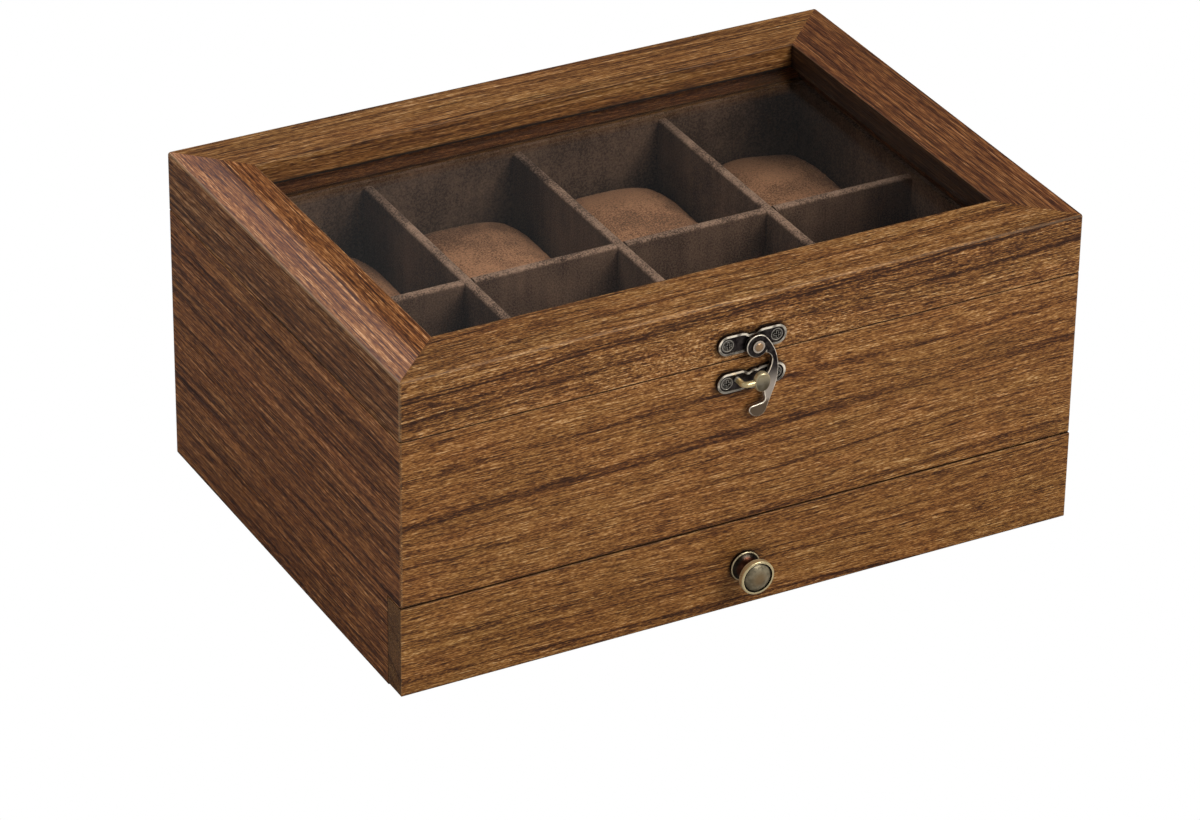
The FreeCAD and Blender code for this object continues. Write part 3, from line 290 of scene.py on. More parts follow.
def woodGroup():
    # rings are the distance from a pith line that runs along the board, bent by three sizes of noise;
    # each ring ends in a dark line, and pores are dark dashes along the grain, closest before that line
    v = boardValues
    tree, given, result = newGroup(
        "board wood",
        {"Position": (0.0, 0.0, 0.0), "Turned": 0.0, "Pith Across": 0.0, "Pith Depth": 0.0, "Tilt": 0.0,
         "Ring Width": 5.0, "Tone": 0.0, "Contrast": 1.0, "Threads": 0.14, "Stretch": 1.0,
         "Stain": (1.0, 1.0, 1.0), "Seed": 0.0, "Curl Place": (0.0, 0.0, 0.0), "Curl": 0.0},
        {"Color": "Color", "Roughness": "Float", "Normal": "Vector"})

    # the place in mm along the board, across it and up; a turned board runs along Y
    x, y, z = axes(tree, scaled(tree, given["Position"], (1000.0, 1000.0, 1000.0)))
    along = plus(tree, x, times(tree, given["Turned"], minus(tree, y, x)))
    across = plus(tree, y, times(tree, given["Turned"], minus(tree, x, y)))
    join = newNode(tree, "CombineXYZ")
    for value, socket in zip((times(tree, along, given["Stretch"]), across, z), join.inputs):
        feed(tree, value, socket)
    seedShift = newNode(tree, "VectorMath")
    seedShift.operation = "SCALE"
    setAll(tree, seedShift, {0: v["seedShift"], "Scale": given["Seed"]})
    grain = vecCalc(tree, "ADD", join.outputs[0], seedShift.outputs[0])

    def wander(name):
        # noise from minus half to half of the reach, across the board and up
        length, width, detail, reach = v[name]
        cloud = noise(tree, scaled(tree, grain, (length, width, width)), detail=detail, output="Color")
        return scaled(tree, vecCalc(tree, "SUBTRACT", cloud, (0.5, 0.5, 0.5)), (0.0, reach, reach))

    sway = vecCalc(tree, "ADD", wander("sway"), wander("ripple"))
    flow = vecCalc(tree, "ADD", grain, sway)
    bend = axes(tree, vecCalc(tree, "ADD", sway, wander("jitter")))

    def drawnOut(name, vector):
        # noise drawn out along the board
        length, width, detail, roughness = v[name]
        drawn = scaled(tree, vector, (length, width, width))
        return noise(tree, drawn, detail=detail, roughness=roughness)

    def streaks(name):
        # drawn-out noise, spread to minus half to half
        return minus(tree, ramp(tree, drawnOut(name, flow), *v["spread"]), 0.5)

    # distance from the pith, counted in rings of uneven width
    lean = times(tree, along, given["Tilt"])
    offAcross = minus(tree, minus(tree, across, given["Pith Across"]), lean)
    offAcross = plus(tree, offAcross, bend["Y"])
    offDepth = plus(tree, minus(tree, z, given["Pith Depth"]), bend["Z"])
    squares = plus(tree, times(tree, offAcross, offAcross), times(tree, offDepth, offDepth))
    distance = calc(tree, "SQRT", squares)
    uneven = newNode(tree, "TexNoise")
    uneven.noise_dimensions = "1D"
    outward = plus(tree, times(tree, distance, v["uneven"]), given["Seed"])
    setAll(tree, uneven, {"W": outward, "Scale": 1.0})
    rings = plus(tree, calc(tree, "DIVIDE", distance, given["Ring Width"]),
                 times(tree, uneven.outputs[0], v["unevenReach"]))
    phase = calc(tree, "FRACT", rings)
    pick = newNode(tree, "TexWhiteNoise")
    pick.noise_dimensions = "1D"
    feed(tree, calc(tree, "FLOOR", rings), pick.inputs["W"])
    strength = ramp(tree, pick.outputs["Value"], 0.0, 1.0, v["faintest"], 1.0)
    late = minus(tree, ramp(tree, phase, *v["lateStart"]), ramp(tree, phase, *v["lateEnd"]))
    late = times(tree, late, strength)
    line = minus(tree, ramp(tree, phase, *v["lineStart"]), ramp(tree, phase, *v["lineEnd"]))
    gaps = ramp(tree, drawnOut("lineGaps", flow), *v["gapSpread"])
    line = times(tree, times(tree, line, strength), gaps)

    broad = streaks("broad")
    fine = streaks("fine")
    poreNoise = drawnOut("pores", vecCalc(tree, "ADD", flow, v["poreShift"]))
    crowd = plus(tree, times(tree, late, v["poreLate"]), times(tree, broad, v["poreBroad"]))
    pores = ramp(tree, plus(tree, poreNoise, crowd), *v["poreEdge"])
    # painted glints: pale dashes along the grain that stand for highlights off the lacquer in the pores
    glintNoise = drawnOut("paintedGlints", vecCalc(tree, "ADD", flow, v["glintShift"]))
    paintedGlints = times(tree, ramp(tree, glintNoise, *v["glintEdge"]), plus(tree, v["glintLeast"], late))

    # curl: a patch of crossways mottling round a place
    away = scaled(tree, vecCalc(tree, "SUBTRACT", given["Position"], given["Curl Place"]), v["curlShape"])
    near = ramp(tree, vecCalc(tree, "LENGTH", away, output=1), *v["curlFade"])
    near = times(tree, near, given["Curl"])
    curl = times(tree, minus(tree, drawnOut("curl", grain), v["curlMiddle"]), near)

    layers = {
        "patch": minus(tree, drawnOut("patch", flow), 0.5), "broad": broad,
        "thread": times(tree, streaks("thread"), given["Threads"]), "fibre": streaks("fibre"), "late": late,
        "line": line, "pores": pores, "fine": fine, "grit": streaks("grit"), "paintedGlints": paintedGlints, "curl": curl}
    swing = times(tree, addLayers(tree, layers, v["longSwings"]), oneLess(tree, near, v["curlHides"]))
    swing = addLayers(tree, layers, v["shortSwings"], swing)
    tone = plus(tree, v["middleTone"], times(tree, swing, given["Contrast"]))
    tone = plus(tree, tone, given["Tone"])
    color = colorSteps(tree, tone, v["colors"])
    # the stain runs redder in some places and more olive in others
    change = newNode(tree, "VectorMath")
    change.operation = "SCALE"
    setAll(tree, change, {0: v["warmShift"], "Scale": minus(tree, drawnOut("warmth", flow), 0.5)})
    color = scaled(tree, color, vecCalc(tree, "ADD", change.outputs[0], given["Stain"]))
    height = minus(tree, times(tree, fine, v["fineHeight"]), pores)
    feed(tree, color, result["Color"])
    feed(tree, ramp(tree, pores, *v["roughness"]), result["Roughness"])
    feed(tree, bump(tree, height, *v["relief"]), result["Normal"])
    return tree


edgeValues = {
    "samples": 6,
    # noise that breaks the edge and by how much; how far the surface has to turn
    "broken": (0.25, 0.6, 0.55, 1.3), "turned": (0.06, 0.75),
}


def edgeGroup():
    # 1 where the surface turns within the radius: the rounded normal leaves the flat one
    v = edgeValues
    tree, given, result = newGroup("edge wear", {"Radius": 0.0004, "Reach": 0.35, "Grit": 2500.0},
                                   {"Mask": "Float"})
    soft = newNode(tree, "Bevel")
    soft.samples = v["samples"]
    feed(tree, given["Radius"], soft.inputs["Radius"])
    flat = newNode(tree, "NewGeometry").outputs["Normal"]
    turn = minus(tree, 1.0, vecCalc(tree, "DOT_PRODUCT", soft.outputs[0], flat, output=1))
    gritty = noise(tree, coordinate(tree, "Object"), scale=given["Grit"])
    broken = times(tree, calc(tree, "DIVIDE", turn, given["Reach"]), ramp(tree, gritty, *v["broken"]))
    feed(tree, ramp(tree, broken, *v["turned"]), result["Mask"])
    return tree


# the largest part of the normal on a flat and on a rounding, and where a fillet has turned to another side
roundedValues = {"leaving": (0.992, 0.93), "stillHere": (0.1, 0.4)}


def roundedGroup():
    # 1 on the roundings, where the normal leaves the axes; with Forward at 1 only faces along Y are flat
    v = roundedValues
    tree, given, result = newGroup("rounded edge", {"Forward": 0.0}, {"Mask": "Float"})
    x, y, z = axes(tree, vecCalc(tree, "ABSOLUTE", coordinate(tree, "Normal")))
    sideways = times(tree, calc(tree, "MAXIMUM", x, z), minus(tree, 1.0, given["Forward"]))
    largest = calc(tree, "MAXIMUM", y, sideways)
    mask = times(tree, ramp(tree, largest, *v["leaving"]), ramp(tree, largest, *v["stillHere"]))
    feed(tree, mask, result["Mask"])
    return tree


napValues = {
    # cycles per m of single tufts and of clouds, and how far each layer swings the nap from its middle
    "tufts": 1500.0, "clouds": 38.0, "middle": 0.3,
    "swings": {"tufts": 0.38, "brushed": 0.11, "clouds": 0.26},
    # noise of every layer, spread to minus half to half; relief of the tufts: depth in m, strength
    "spread": (0.3, 0.7, -0.5, 0.5), "relief": (0.0005, 0.5),
}


def napGroup():
    # short pile: speckle of single tufts, marks where it was brushed one way or the other, wide clouds
    v = napValues
    tree, given, result = newGroup(
        "velvet nap",
        {"Position": (0.0, 0.0, 0.0), "Brush": (1.0, 1.0, 1.0), "Brush Scale": 90.0, "Mottle": 1.0,
         "Base": (0.1, 0.07, 0.05, 1.0), "Light": (0.3, 0.22, 0.17, 1.0)},
        {"Color": "Color", "Normal": "Vector", "Nap": "Float"})
    marks = scaled(tree, scaled(tree, given["Position"], given["Brush"]), given["Brush Scale"])
    layers = {"tufts": noise(tree, given["Position"], scale=v["tufts"], roughness=0.7),
              "brushed": noise(tree, marks, detail=3.0, roughness=0.6),
              "clouds": noise(tree, given["Position"], scale=v["clouds"], detail=3.0)}
    swings = {name: ramp(tree, layer, *v["spread"]) for name, layer in layers.items()}
    swing = times(tree, addLayers(tree, swings, v["swings"]), given["Mottle"])
    nap = plus(tree, v["middle"], swing, clamp=True)
    feed(tree, mix(tree, nap, given["Base"], given["Light"]), result["Color"])
    feed(tree, bump(tree, layers["tufts"], *v["relief"]), result["Normal"])
    feed(tree, nap, result["Nap"])
    return tree


woodTree = woodGroup()
edgeTree = edgeGroup()
roundedTree = roundedGroup()
napTree = napGroup()
print("shader groups made")


# wood

woodValues = {
    # each board: 1 if it runs in Y; pith across and depth in mm; ring width in mm; stain per colour
    "front": {"pith": (-10, 230), "tilt": 0.05, "ring": 7.5, "seed": 1.3, "curl": 1.0,
        "tone": -0.006, "threads": 0.11, "contrast": 1.06, "stain": (1.0, 0.96, 0.86)},
    "lidFront": {"pith": (-10, 230), "tilt": 0.05, "ring": 7.5, "tone": -0.03, "seed": 1.3,
        "curl": 1.0, "threads": 0.2, "contrast": 1.25, "stain": (1.0, 0.97, 0.9), "arris": 0.16},
    "back": {"pith": (40, 20), "tilt": -0.03, "ring": 5.6, "seed": 4.1},
    "lidBack": {"pith": (30, 60), "tilt": 0.03, "ring": 4.6, "tone": -0.05, "seed": 7.7,
        "stretch": 0.6, "threads": 0.34, "arris": 0.14, "glassShadow": 1.0},
    "left": {"turned": 1, "pith": (40, -80), "ring": 7.0, "tone": -0.105, "threads": 0.3, "seed": 2.9,
        "stretch": 0.45, "contrast": 1.1, "stain": (1.06, 0.87, 0.76)},
    "lidLeft": {"turned": 1, "pith": (40, -60), "ring": 2.4, "tone": -0.065, "threads": 0.32, "seed": 6.4,
        "stretch": 0.4, "stain": (1.05, 0.89, 0.82), "arris": 0.42, "paintedSheen": 1.0,
        "lipShade": 0.22, "contrast": 1.2},
    "right": {"turned": 1, "pith": (-50, -70), "ring": 4.8, "tone": -0.05, "threads": 0.3, "seed": 5.6,
        "stretch": 0.5, "stain": (1.0, 0.95, 0.92)},
    "lidRight": {"turned": 1, "pith": (-50, -70), "ring": 2.4, "tone": -0.175, "threads": 0.34, "seed": 5.9,
        "stretch": 0.3, "stain": (1.0, 0.92, 1.05), "lipShade": 0.8},
    "drawerFront": {"pith": (-40, -75), "tilt": 0.05, "ring": 6.4, "tone": -0.01, "seed": 3.4,
        "threads": 0.18, "stain": (1.0, 0.97, 0.86)},
    "drawerSide": {"turned": 1, "pith": (0, -160), "ring": 5.0, "tone": 0.03, "contrast": 0.7, "seed": 8.2},
    "boards": {"pith": (-20, -140), "ring": 7.0, "tone": -0.05, "contrast": 0.7, "seed": 9.1},
    # beads: dark wood, toned darker still as painted shade for the shadow under the lid's lip
    "beadLong": {"tone": -0.3, "threads": 0.24, "seed": 6.3, "stain": (1.0, 0.86, 0.9), "arris": 0.0},
    "beadShort": {"turned": 1, "tone": -0.36, "threads": 0.24, "seed": 6.9, "stain": (1.0, 0.86, 0.9),
        "arris": 0.0},
}
boardUsual = {"turned": 0, "pith": (30, 30), "tilt": 0.02, "ring": 5.0, "tone": 0.0, "contrast": 1.0,
              "threads": 0.14, "stretch": 1.0, "stain": (1.0, 1.0, 1.0), "curl": 0.0, "arris": 0.12,
              "paintedSheen": 0.0, "glassShadow": 0.0, "lipShade": 0.0}
woodPieces = {
    "front": "front_panel", "lidFront": "lid_rail_front", "back": "back_panel", "lidBack": "lid_rail_back",
    "left": "side_panel_left", "lidLeft": "lid_rail_left", "right": "side_panel_right",
    "lidRight": "lid_rail_right", "drawerFront": "drawer_front",
    "drawerSide": "drawer_side_left drawer_side_right",
    "boards": "drawer_bottom shelf base_panel drawer_back",
    "beadLong": "glass_bead_front glass_bead_back", "beadShort": "glass_bead_left glass_bead_right",
}
woodFinishAndLight = {
    # seams are dark, and corners and the edges round the fittings get painted shade: reach in m, samples,
    # amount, openness where it starts and is full
    "gapReach": 0.0022, "gapSamples": 4, "seamAndShadeDark": 0.88, "seamAndShadeOpen": (0.92, 0.5),
    "seamAndShadeColor": (0.012, 0.006, 0.003),
    # roundings get lighter in the open: a painted highlight along the arrises, with some rubbed wear
    "rubbedAndLitOpen": (0.75, 0.98), "rubbedAndLitColor": (0.4, 0.26, 0.14),
    # painted sheen: a pale reflection on what looks up, between two places in X
    "paintedSheenPlace": (-0.1185, -0.124), "paintedSheenFacing": (0.6, 0.95), "paintedSheenColor": (0.05, 0.038, 0.041),
    # faces that look toward minus Y, and toward minus X: a painted shadow line where the glass meets the
    # lip, painted shade on the right rail's inner lip and the left rail's outer side
    "inward": (-0.5, -0.9), "glassShadowHeight": (0.11665, 0.11625), "glassShadowColor": (0.006, 0.003, 0.002),
    "lipShadeColor": (0.01, 0.005, 0.003),
    # end grain
    "endFacing": (0.75, 0.95), "endDarken": 0.45, "endColor": (0.02, 0.009, 0.005),
    "specular": 0.16, "curlPlace": (-0.012, -0.095, 0.106),
}


def woodMaterial(name):
    # board wood under its finish, with painted light and shade: each effect is a mask times its amount,
    # mixed over what is there
    v = {**boardUsual, **woodValues[name]}
    f = woodFinishAndLight
    material, tree, shader = newMaterial("wood_" + name)
    place = coordinate(tree, "Object")
    wood = useGroup(tree, woodTree, {
        "Position": place, "Turned": float(v["turned"]), "Pith Across": float(v["pith"][0]),
        "Pith Depth": float(v["pith"][1]), "Tilt": v["tilt"], "Ring Width": v["ring"], "Tone": v["tone"],
        "Contrast": v["contrast"], "Threads": v["threads"], "Stretch": v["stretch"], "Stain": v["stain"],
        "Seed": v["seed"], "Curl Place": f["curlPlace"], "Curl": v["curl"]})
    spot = axes(tree, place)
    facing = axes(tree, coordinate(tree, "Normal"))
    exposed = openness(tree, f["gapReach"], f["gapSamples"])
    rounded = useGroup(tree, roundedTree, {"Forward": 0.0})
    # painted highlight, partly rubbed wear, on the rounded arrises away from gaps
    rubbedAndLit = times(tree, rounded["Mask"], ramp(tree, exposed, *f["rubbedAndLitOpen"], 0.0, v["arris"]))
    color = mix(tree, rubbedAndLit, wood["Color"], f["rubbedAndLitColor"])
    # painted sheen on the outer half of the left rail's top
    paintedSheen = times(tree, ramp(tree, spot["X"], *f["paintedSheenPlace"], 0.0, v["paintedSheen"]),
                  ramp(tree, facing["Z"], *f["paintedSheenFacing"]))
    color = mix(tree, paintedSheen, color, f["paintedSheenColor"], blend="ADD")
    # painted shadow line under the lip where it meets the glass
    inward = ramp(tree, facing["Y"], *f["inward"], 0.0, v["glassShadow"])
    glassShadowMask = times(tree, ramp(tree, spot["Z"], *f["glassShadowHeight"]), inward)
    color = mix(tree, glassShadowMask, color, f["glassShadowColor"])
    # painted shade on faces that look toward minus X
    lipShadeMask = ramp(tree, facing["X"], *f["inward"], 0.0, v["lipShade"])
    color = mix(tree, lipShadeMask, color, f["lipShadeColor"])
    # dark seams, and painted shade where the ambient occlusion finds corners and the edges round the
    # fittings
    dark = ramp(tree, exposed, *f["seamAndShadeOpen"], 0.0, f["seamAndShadeDark"])
    color = mix(tree, dark, color, f["seamAndShadeColor"])
    # end grain drinks the stain: darker where the face looks along the board
    outward = axes(tree, newNode(tree, "NewGeometry").outputs["Normal"])
    endOn = ramp(tree, calc(tree, "ABSOLUTE", outward[v["turned"]]), *f["endFacing"])
    color = mix(tree, times(tree, endOn, f["endDarken"]), color, f["endColor"])
    setAll(tree, shader, {"Base Color": color, "Roughness": wood["Roughness"], "Normal": wood["Normal"],
                          "Specular IOR Level": f["specular"]})
    return material


for name, pieces in woodPieces.items():
    paint(woodMaterial(name), *pieces.split())
print("wood painted")


# velvet

velvetValues = {
    # colours deep in the pile, at its tips, and of the painted highlight on top edges; stretch of the brush
    # marks and cycles per m
    "lining": {"base": (0.036, 0.018, 0.01), "light": (0.19, 0.111, 0.071), "topHighlight": (0.2, 0.12, 0.08),
        "brush": (1.0, 1.0, 0.09), "scale": 210.0, "mottle": 1.5, "sheen": 0.05},
    "divider": {"base": (0.04, 0.02, 0.012), "light": (0.215, 0.128, 0.083), "topHighlight": (0.33, 0.203, 0.139),
        "brush": (1.0, 1.0, 0.09), "scale": 210.0, "mottle": 1.4, "sheen": 0.05},
    "pillow": {"base": (0.13, 0.06, 0.03), "light": (0.415, 0.2, 0.102), "topHighlight": (0.415, 0.2, 0.102),
        "brush": (1.0, 0.6, 1.0), "scale": 110.0, "mottle": 1.6, "sheen": 0.08},
    "drawer": {"base": (0.036, 0.018, 0.01), "light": (0.18, 0.105, 0.066), "topHighlight": (0.18, 0.105, 0.066),
        "brush": (1.0, 1.0, 0.4), "scale": 200.0, "mottle": 1.0, "sheen": 0.05},
}
# where a face looks up, and the nap at which its painted highlight is full
velvetFinishAndLight = {"lookingUp": (0.25, 0.9), "highlightNap": (0.0, 0.65), "roughness": 0.95, "specular": 0.15,
                "sheenRoughness": 0.45, "sheenTint": (0.62, 0.5, 0.43)}


def velvetMaterial(name):
    # velvet nap; faces that look up get a painted highlight, fullest where the nap is light
    v = velvetValues[name]
    f = velvetFinishAndLight
    material, tree, shader = newMaterial("velvet_" + name)
    nap = useGroup(tree, napTree, {
        "Position": coordinate(tree, "Object"), "Brush": v["brush"], "Brush Scale": v["scale"],
        "Mottle": v["mottle"], "Base": v["base"], "Light": v["light"]})
    up = axes(tree, coordinate(tree, "Normal"))["Z"]
    # painted highlight on faces that look up
    paintedTopLight = times(tree, ramp(tree, up, *f["lookingUp"]), ramp(tree, nap["Nap"], *f["highlightNap"]))
    setAll(tree, shader, {
        "Base Color": mix(tree, paintedTopLight, nap["Color"], v["topHighlight"]), "Normal": nap["Normal"],
        "Roughness": f["roughness"], "Specular IOR Level": f["specular"], "Sheen Weight": v["sheen"],
        "Sheen Roughness": f["sheenRoughness"], "Sheen Tint": f["sheenTint"]})
    return material


paint(velvetMaterial("lining"), *startingWith("lining"))
paint(velvetMaterial("divider"), *startingWith("divider"))
paint(velvetMaterial("drawer"), *startingWith("drawer_lining"))
pillowVelvet = velvetMaterial("pillow")
print("velvet painted")


# glass

glassValues = {"color": (0.965, 0.975, 0.97), "index": 1.45, "shadowColor": (0.95, 0.96, 0.955)}


def glassMaterial():
    # clear pane; light for the shadows below passes straight through
    v = glassValues
    material, tree, shader = newMaterial("glass_pane")
    setAll(tree, shader, {"Base Color": v["color"], "Roughness": 0.0, "IOR": v["index"],
                          "Transmission Weight": 1.0})
    clear = newNode(tree, "BsdfTransparent")
    feed(tree, v["shadowColor"], clear.inputs["Color"])
    rays = newNode(tree, "LightPath").outputs
    mixShaders(tree, calc(tree, "MAXIMUM", rays["Is Shadow Ray"], rays["Is Diffuse Ray"]), shader, clear)
    return material


paint(glassMaterial(), "lid_glass")
print("glass painted")


# metal

metalValues = {
    # dark and mid tarnish of the flats, the bright of rubbed metal, roughness; wear is for sharp edges,
    # the next for the roundings round the flats, rubbed wear with a painted highlight
    "latch": {"dark": (0.024, 0.018, 0.02), "mid": (0.105, 0.088, 0.082), "bright": (0.96, 0.86, 0.7),
        "rough": 0.34, "wear": 0.5, "rubAndHighlight": 1.0},
    "knob": {"dark": (0.022, 0.017, 0.013), "mid": (0.085, 0.066, 0.048), "bright": (0.86, 0.72, 0.44),
        "rough": 0.32, "wear": 0.8, "rubAndHighlight": 0.0},
    "rivet": {"dark": (0.05, 0.04, 0.034), "mid": (0.3, 0.26, 0.22), "bright": (0.78, 0.64, 0.5),
        "rough": 0.36, "wear": 0.5, "rubAndHighlight": 0.0},
    "screws": {"dark": (0.022, 0.02, 0.017), "mid": (0.16, 0.14, 0.12), "bright": (0.66, 0.6, 0.52),
        "rough": 0.38, "wear": 0.8, "rubAndHighlight": 0.5},
    "hinge": {"dark": (0.045, 0.034, 0.022), "mid": (0.2, 0.16, 0.1), "bright": (0.75, 0.64, 0.44),
        "rough": 0.36, "wear": 0.8, "rubAndHighlight": 0.0},
}
for alike in ("catch", "hook"):
    metalValues[alike] = metalValues["latch"]
metalFinishAndLight = {
    "edge": {"Radius": 0.00035, "Reach": 0.16, "Grit": 900.0},
    # hollows: reach in m, samples, openness where they start to clear and are clean, shade of dark
    "hollowReach": 0.0012, "hollowSamples": 6, "hollowOpen": (0.35, 0.95), "hollowShade": 0.25,
    # tarnish: cycles per m, and the noise for dark and for mid
    "tarnishScale": 420.0, "tarnish": (0.3, 0.75),
    # rubbed roundings with a painted highlight: less on those that look down, as the light falls from above;
    # less on dark tarnish
    "upwardHighlight": (-0.75, 0.15, 0.3, 1.0), "onTarnish": (0.3, 0.5), "onDark": 0.45,
    # worn and highlighted metal mirrors less; tarnish changes the roughness; relief: cycles per m, depth in
    # m, strength
    "duller": 0.55, "uneven": 0.25, "reliefScale": 1500.0, "relief": (0.00006, 0.35),
}
knobLow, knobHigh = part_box("drawer_knob")
rivetLow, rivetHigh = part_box("latch_rivet")
catchLow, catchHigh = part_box("latch_catch")
plateLow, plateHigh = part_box("latch_plate")
plateMiddle, catchMiddle = (plateLow.z + plateHigh.z)/2, (catchLow.z + catchHigh.z)/2


def metalMaterial(name, extra=None):
    # aged metal: dark in the hollows, mid on the flats, bright and duller where edges are rubbed and where
    # roundings that look up get a painted highlight
    v = metalValues[name]
    f = metalFinishAndLight
    material, tree, shader = newMaterial("metal_" + name)
    place = coordinate(tree, "Object")
    tarnish = noise(tree, place, scale=f["tarnishScale"], detail=4.0, roughness=0.65)
    base = mix(tree, ramp(tree, tarnish, *f["tarnish"]), v["dark"], v["mid"])
    up = axes(tree, coordinate(tree, "Normal"))["Z"]
    rounded = useGroup(tree, roundedTree, {"Forward": 1.0})
    # painted highlight on roundings that look up, together with rubbed wear
    rubbedAndLit = times(tree, rounded["Mask"], ramp(tree, up, *f["upwardHighlight"]))
    rubbedAndLit = times(tree, rubbedAndLit, ramp(tree, tarnish, *f["onTarnish"], f["onDark"]*v["rubAndHighlight"], v["rubAndHighlight"]))
    edge = useGroup(tree, edgeTree, f["edge"])
    wornAndLit = calc(tree, "MAXIMUM", times(tree, edge["Mask"], v["wear"]), rubbedAndLit)
    shiny = 1.0
    if extra is not None:
        base, shiny, wornAndLit = extra(tree, place, base, wornAndLit)
    clean = ramp(tree, openness(tree, f["hollowReach"], f["hollowSamples"]), *f["hollowOpen"])
    base = mix(tree, clean, tuple(f["hollowShade"]*part for part in v["dark"]), base)
    wornAndLit = times(tree, wornAndLit, clean, clamp=True)
    fineNoise = noise(tree, place, scale=f["reliefScale"], detail=3.0)
    setAll(tree, shader, {
        "Base Color": mix(tree, wornAndLit, base, v["bright"]),
        "Metallic": minus(tree, shiny, times(tree, wornAndLit, f["duller"]), clamp=True),
        "Roughness": plus(tree, v["rough"], times(tree, minus(tree, tarnish, 0.5), f["uneven"])),
        "Normal": bump(tree, fineNoise, *f["relief"])})
    return material


def fromAxis(tree, place, low, high):
    # distance from the axis through the middle of a turned piece that points out of the front
    middle = ((low.x + high.x)/2, 0.0, (low.z + high.z)/2)
    away = scaled(tree, vecCalc(tree, "SUBTRACT", place, middle), (1.0, 0.0, 1.0))
    return vecCalc(tree, "LENGTH", away, output=1)


plateValues = {
    # Y of the flat and of the raised border; patches: cycles per m, noise and amount
    "border": (-0.09638, -0.0965), "patchScale": 260.0, "patches": (0.38, 0.56, 0.3, 1.0),
    # the lower half, from this far below to this far above the middle, gets less of the painted highlight
    "below": 0.0025, "above": 0.0005, "lowerHighlight": 0.4,
}


def borderedPlate(tree, place, base, wornAndLit):
    # the raised border stands 0.3 mm in front of the flat of the plate and is rubbed bright, with a painted
    # highlight stronger on its upper half
    v = plateValues
    spot = axes(tree, place)
    raised = ramp(tree, spot["Y"], *v["border"])
    patchy = ramp(tree, noise(tree, place, scale=v["patchScale"]), *v["patches"])
    # painted highlight: the upper half of each border is brighter than its lower half
    upper, lower = [ramp(tree, spot["Z"], middle - v["below"], middle + v["above"], v["lowerHighlight"], 1.0)
                    for middle in (plateMiddle, catchMiddle)]
    onCatch = calc(tree, "LESS_THAN", spot["Z"], (plateMiddle + catchMiddle)/2)
    side = plus(tree, upper, times(tree, onCatch, minus(tree, lower, upper)))
    bright = times(tree, raised, times(tree, patchy, side))
    return base, 1.0, calc(tree, "MAXIMUM", wornAndLit, bright)


hookValues = {
    # heights between which the lower arm turns silver, ends and turns to the bronze of its tip
    "armTop": (0.0985, 0.09), "armEnd": (0.083, 0.0855), "amount": 0.85, "silver": (0.6, 0.51, 0.43),
    "tip": (0.0855, 0.0835, 0.0, 0.7), "bronze": (0.36, 0.255, 0.165), "duller": 0.35,
}


def rubbedHook(tree, place, base, wornAndLit):
    # the lower arm, which the thumb pushes, is rubbed to a pale silver, its tip to bronze
    v = hookValues
    height = axes(tree, place)["Z"]
    silver = times(tree, ramp(tree, height, *v["armTop"]), ramp(tree, height, *v["armEnd"]))
    silver = times(tree, silver, v["amount"])
    base = mix(tree, silver, base, v["silver"])
    base = mix(tree, ramp(tree, height, *v["tip"]), base, v["bronze"])
    return base, oneLess(tree, silver, v["duller"]), wornAndLit


catchValues = {
    # how far in front of the plate's back the finger and head begin; they wear and shine less by these
    "proud": (0.002, 0.0028), "lessWorn": 0.85, "duller": 0.25,
    # head: heights of its low colour and of its painted top highlight, faces turned from the front, and the
    # colour of those
    "headHeight": (0.0935, 0.0975), "headLow": (0.1, 0.076, 0.04), "headTopHighlight": (0.34, 0.27, 0.135),
    "turned": (-0.93, -0.7, 0.0, 0.8), "turnedColor": (0.62, 0.5, 0.27),
    # finger: where in X it begins
    "fingerStart": (-0.0016, -0.0024), "finger": (0.66, 0.5, 0.22),
}


def brassCatch(tree, place, base, wornAndLit):
    # the finger and the head stand in front of the plate: bright brass bar, olive head with a painted
    # highlight on its top
    v = catchValues
    base, shiny, wornAndLit = borderedPlate(tree, place, base, wornAndLit)
    spot = axes(tree, place)
    proud = ramp(tree, spot["Y"], *[catchHigh.y - reach for reach in v["proud"]])
    # painted highlight: the head lightens towards its top
    head = mix(tree, ramp(tree, spot["Z"], *v["headHeight"]), v["headLow"], v["headTopHighlight"])
    turned = ramp(tree, axes(tree, coordinate(tree, "Normal"))["Y"], *v["turned"])
    head = mix(tree, turned, head, v["turnedColor"])
    brass = mix(tree, ramp(tree, spot["X"], *v["fingerStart"]), head, v["finger"])
    wornAndLit = times(tree, wornAndLit, oneLess(tree, proud, v["lessWorn"]))
    return mix(tree, proud, base, brass), oneLess(tree, proud, v["duller"]), wornAndLit


rivetValues = {
    # radii in m at the edge of the dome; how far behind the front of the rivet its face ends
    "dome": (0.00165, 0.0015), "face": (0.0012, 0.0009), "duller": 0.45,
    "border": (0.46, 0.38, 0.31), "copper": (0.35, 0.215, 0.115),
}


def copperRivet(tree, place, base, wornAndLit):
    # copper dome inside a paler border
    v = rivetValues
    dome = ramp(tree, fromAxis(tree, place, rivetLow, rivetHigh), *v["dome"])
    front = ramp(tree, axes(tree, place)["Y"], *[rivetLow.y + depth for depth in v["face"]])
    border = mix(tree, front, base, v["border"])
    color = mix(tree, times(tree, dome, front), border, v["copper"])
    return color, oneLess(tree, front, v["duller"]), wornAndLit


